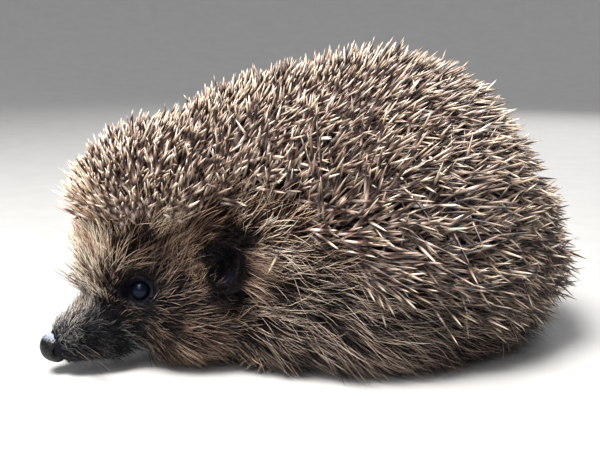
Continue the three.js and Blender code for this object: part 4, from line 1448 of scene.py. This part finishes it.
def claw_horn():
    """Claw horn: grey brown, smooth, a little paler in streaks."""
    material, tree, shader = new_material("claw_horn")
    place = add(tree, "ShaderNodeTexCoord").outputs["Object"]
    grain = add(tree, "ShaderNodeTexNoise", {"Vector": place, "Scale": HORN_STREAKS / MM}).outputs["Fac"]
    colour = add(tree, "ShaderNodeValToRGB", {"Fac": grain}, stops=[(0.3, "#57483d"), (0.7, "#8d7b69")])
    plug(tree, shader, {"Base Color": colour.outputs["Color"], "Roughness": 0.35})
    return material


def wet_eye():
    """A blue-black eye under a wet, clear surface that mirrors the light softly."""
    material, tree, shader = new_material("eye_wet_black")
    place = add(tree, "ShaderNodeTexCoord").outputs["Object"]
    grain = add(tree, "ShaderNodeTexNoise", {"Vector": place, "Scale": EYE_CLOUDS / MM}).outputs["Fac"]
    colour = add(tree, "ShaderNodeValToRGB", {"Fac": grain}, stops=[(0.3, "#05060d"), (0.7, "#0a0c18")])
    plug(tree, shader, {
        "Base Color": colour.outputs["Color"], "Roughness": 0.26,
        "IOR": 1.33, "Specular Tint": linear("#c3d3ff"),
    })
    return material


BODY_FUR = ("fur_skirt_1", "fur_skirt_2", "fur_belly", "fur_limbs")


def dress(pieces, material):
    """Gives pieces their material and slot, and lets them ride on the body."""
    for piece in pieces:
        piece.data.materials.append(material)
        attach(piece, "root")


hair = coat_hair()
dress(quills, quill_keratin())
dress([piece for piece in fur if piece.name not in BODY_FUR], hair)
dress([piece for piece in fur if piece.name in BODY_FUR], hair)
dress([skin], thin_haired_skin())
dress(eyes, wet_eye())
dress([nose], wet_nose())
dress([claws], claw_horn())
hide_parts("nose")
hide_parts("snout", "jaw", "head", "neck", "trunk", "tail", "ear_left", "ear_right",
            "foreleg_left", "foreleg_right", "hindleg_left", "hindleg_right")
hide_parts("eye_left")
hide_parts("eye_right")


# ---- Floor, light and camera ------------------------------------------------------------


FLOOR_SIDES = 96
FLOOR_FLAT = 1.3  # in metres, as all lengths in this part
FLOOR_REACH = 2.4
FLOOR_RISE = 1.1
FLOOR_GRAINS = 40.0
AIM = (0, 0, 0.05)
LIGHTS = [  # name, place, size, watts
    ("overhead_soft", (0.3, -0.45, 1.05), 0.42, 39.5),
    ("window_soft", (0.83, -0.65, 0.76), 0.5, 4.6),
    ("far_side_soft", (-0.7, 0.65, 0.5), 0.6, 4.0),
]
SKY_STRENGTH = 0.36
CAMERA_AZIMUTH = 70  # degrees from straight ahead of the nose, towards the animal's left
CAMERA_ELEVATION = 12
CAMERA_DISTANCE = 0.376
CAMERA_AIM = (0, -0.00291, 0.0517)
CAMERA_SHIFT = (-1 / 75, -1 / 300)  # shares of the frame's width
LENS_LENGTH = 55
SENSOR_WIDTH = 36


def build_floor():
    """A plain pale round floor whose edge sweeps up: flat to one radius, then a quarter
    of an ellipse."""
    turn = round_turn(FLOOR_SIDES)
    swing = np.linspace(0, math.pi / 2, 20)
    radius = np.concatenate([[0.4, 0.9], FLOOR_FLAT + (FLOOR_REACH - FLOOR_FLAT) * np.sin(swing)])[:, None]
    height = np.concatenate([[0, 0], FLOOR_RISE * (1 - np.cos(swing))])[:, None]
    rings = np.stack([radius * np.cos(turn), radius * np.sin(turn), height + 0 * turn], -1)
    side = np.arange(FLOOR_SIDES)
    after = (side + 1) % FLOOR_SIDES
    starts = 1 + FLOOR_SIDES * np.arange(len(radius))[:, None]
    fan = np.stack([0 * side, 1 + side, 1 + after], -1)
    mesh = bpy.data.meshes.new("floor")
    mesh.from_pydata(
        [(0, 0, 0), *rings.reshape(-1, 3).tolist()], [],
        [*fan.tolist(), *between_rings(starts[:-1], starts[1:], side, after).tolist()],
    )
    mesh.shade_smooth()
    floor = bpy.data.objects.new("floor", mesh)
    bpy.context.scene.collection.objects.link(floor)
    material, tree, shader = new_material("floor_matt_pale")
    place = add(tree, "ShaderNodeTexCoord").outputs["Object"]
    grain = add(tree, "ShaderNodeTexNoise", {"Vector": place, "Scale": FLOOR_GRAINS}).outputs["Fac"]
    colour = add(tree, "ShaderNodeValToRGB", {"Fac": grain}, stops=[(0.2, "#a5a3a0"), (0.8, "#acaaa7")])
    plug(tree, shader, {"Base Color": colour.outputs["Color"], "Roughness": 0.8})
    floor.data.materials.append(material)


def stand(name, data, place, across, out):
    """Puts a light or the camera at a place, facing away from out, and level."""
    thing = bpy.data.objects.new(name, data)
    turn = Matrix(np.stack([across, np.cross(out, across), out], 1).tolist()).to_4x4()
    turn.translation = place
    thing.matrix_world = turn
    bpy.context.scene.collection.objects.link(thing)
    return thing


def area_light(name, place, size, power):
    """A soft square light turned towards the animal."""
    lamp = bpy.data.lights.new(name, "AREA")
    lamp.shape = "SQUARE"
    lamp.size = size
    lamp.energy = power
    out = unit(np.array(place) - AIM)
    stand(name, lamp, place, unit(np.cross([0.0, 0.0, 1.0], out)), out)


def build_camera():
    """The camera, a little above the floor and nearly square to the left flank."""
    azimuth, elevation = math.radians(CAMERA_AZIMUTH), math.radians(CAMERA_ELEVATION)
    level = math.cos(elevation)
    out = np.array([math.sin(azimuth) * level, -math.cos(azimuth) * level, math.sin(elevation)])
    across = np.array([math.cos(azimuth), math.sin(azimuth), 0])
    lens = bpy.data.cameras.new("camera")
    lens.sensor_width = SENSOR_WIDTH
    lens.lens = LENS_LENGTH
    lens.shift_x, lens.shift_y = CAMERA_SHIFT
    lens.clip_start = 0.01
    bpy.context.scene.camera = stand("camera", lens, CAMERA_AIM + out * CAMERA_DISTANCE, across, out)


def build_sky():
    """A dim, slightly blue light from all round."""
    world = bpy.data.worlds.new("studio")
    world.use_nodes = True
    tree = world.node_tree
    plug(tree, tree.nodes["Background"], {"Color": linear("#dfe6f2"), "Strength": SKY_STRENGTH})
    bpy.context.scene.world = world
    bpy.context.scene.view_settings.view_transform = "Standard"


build_floor()
build_camera()
for light in LIGHTS:
    area_light(*light)
build_sky()
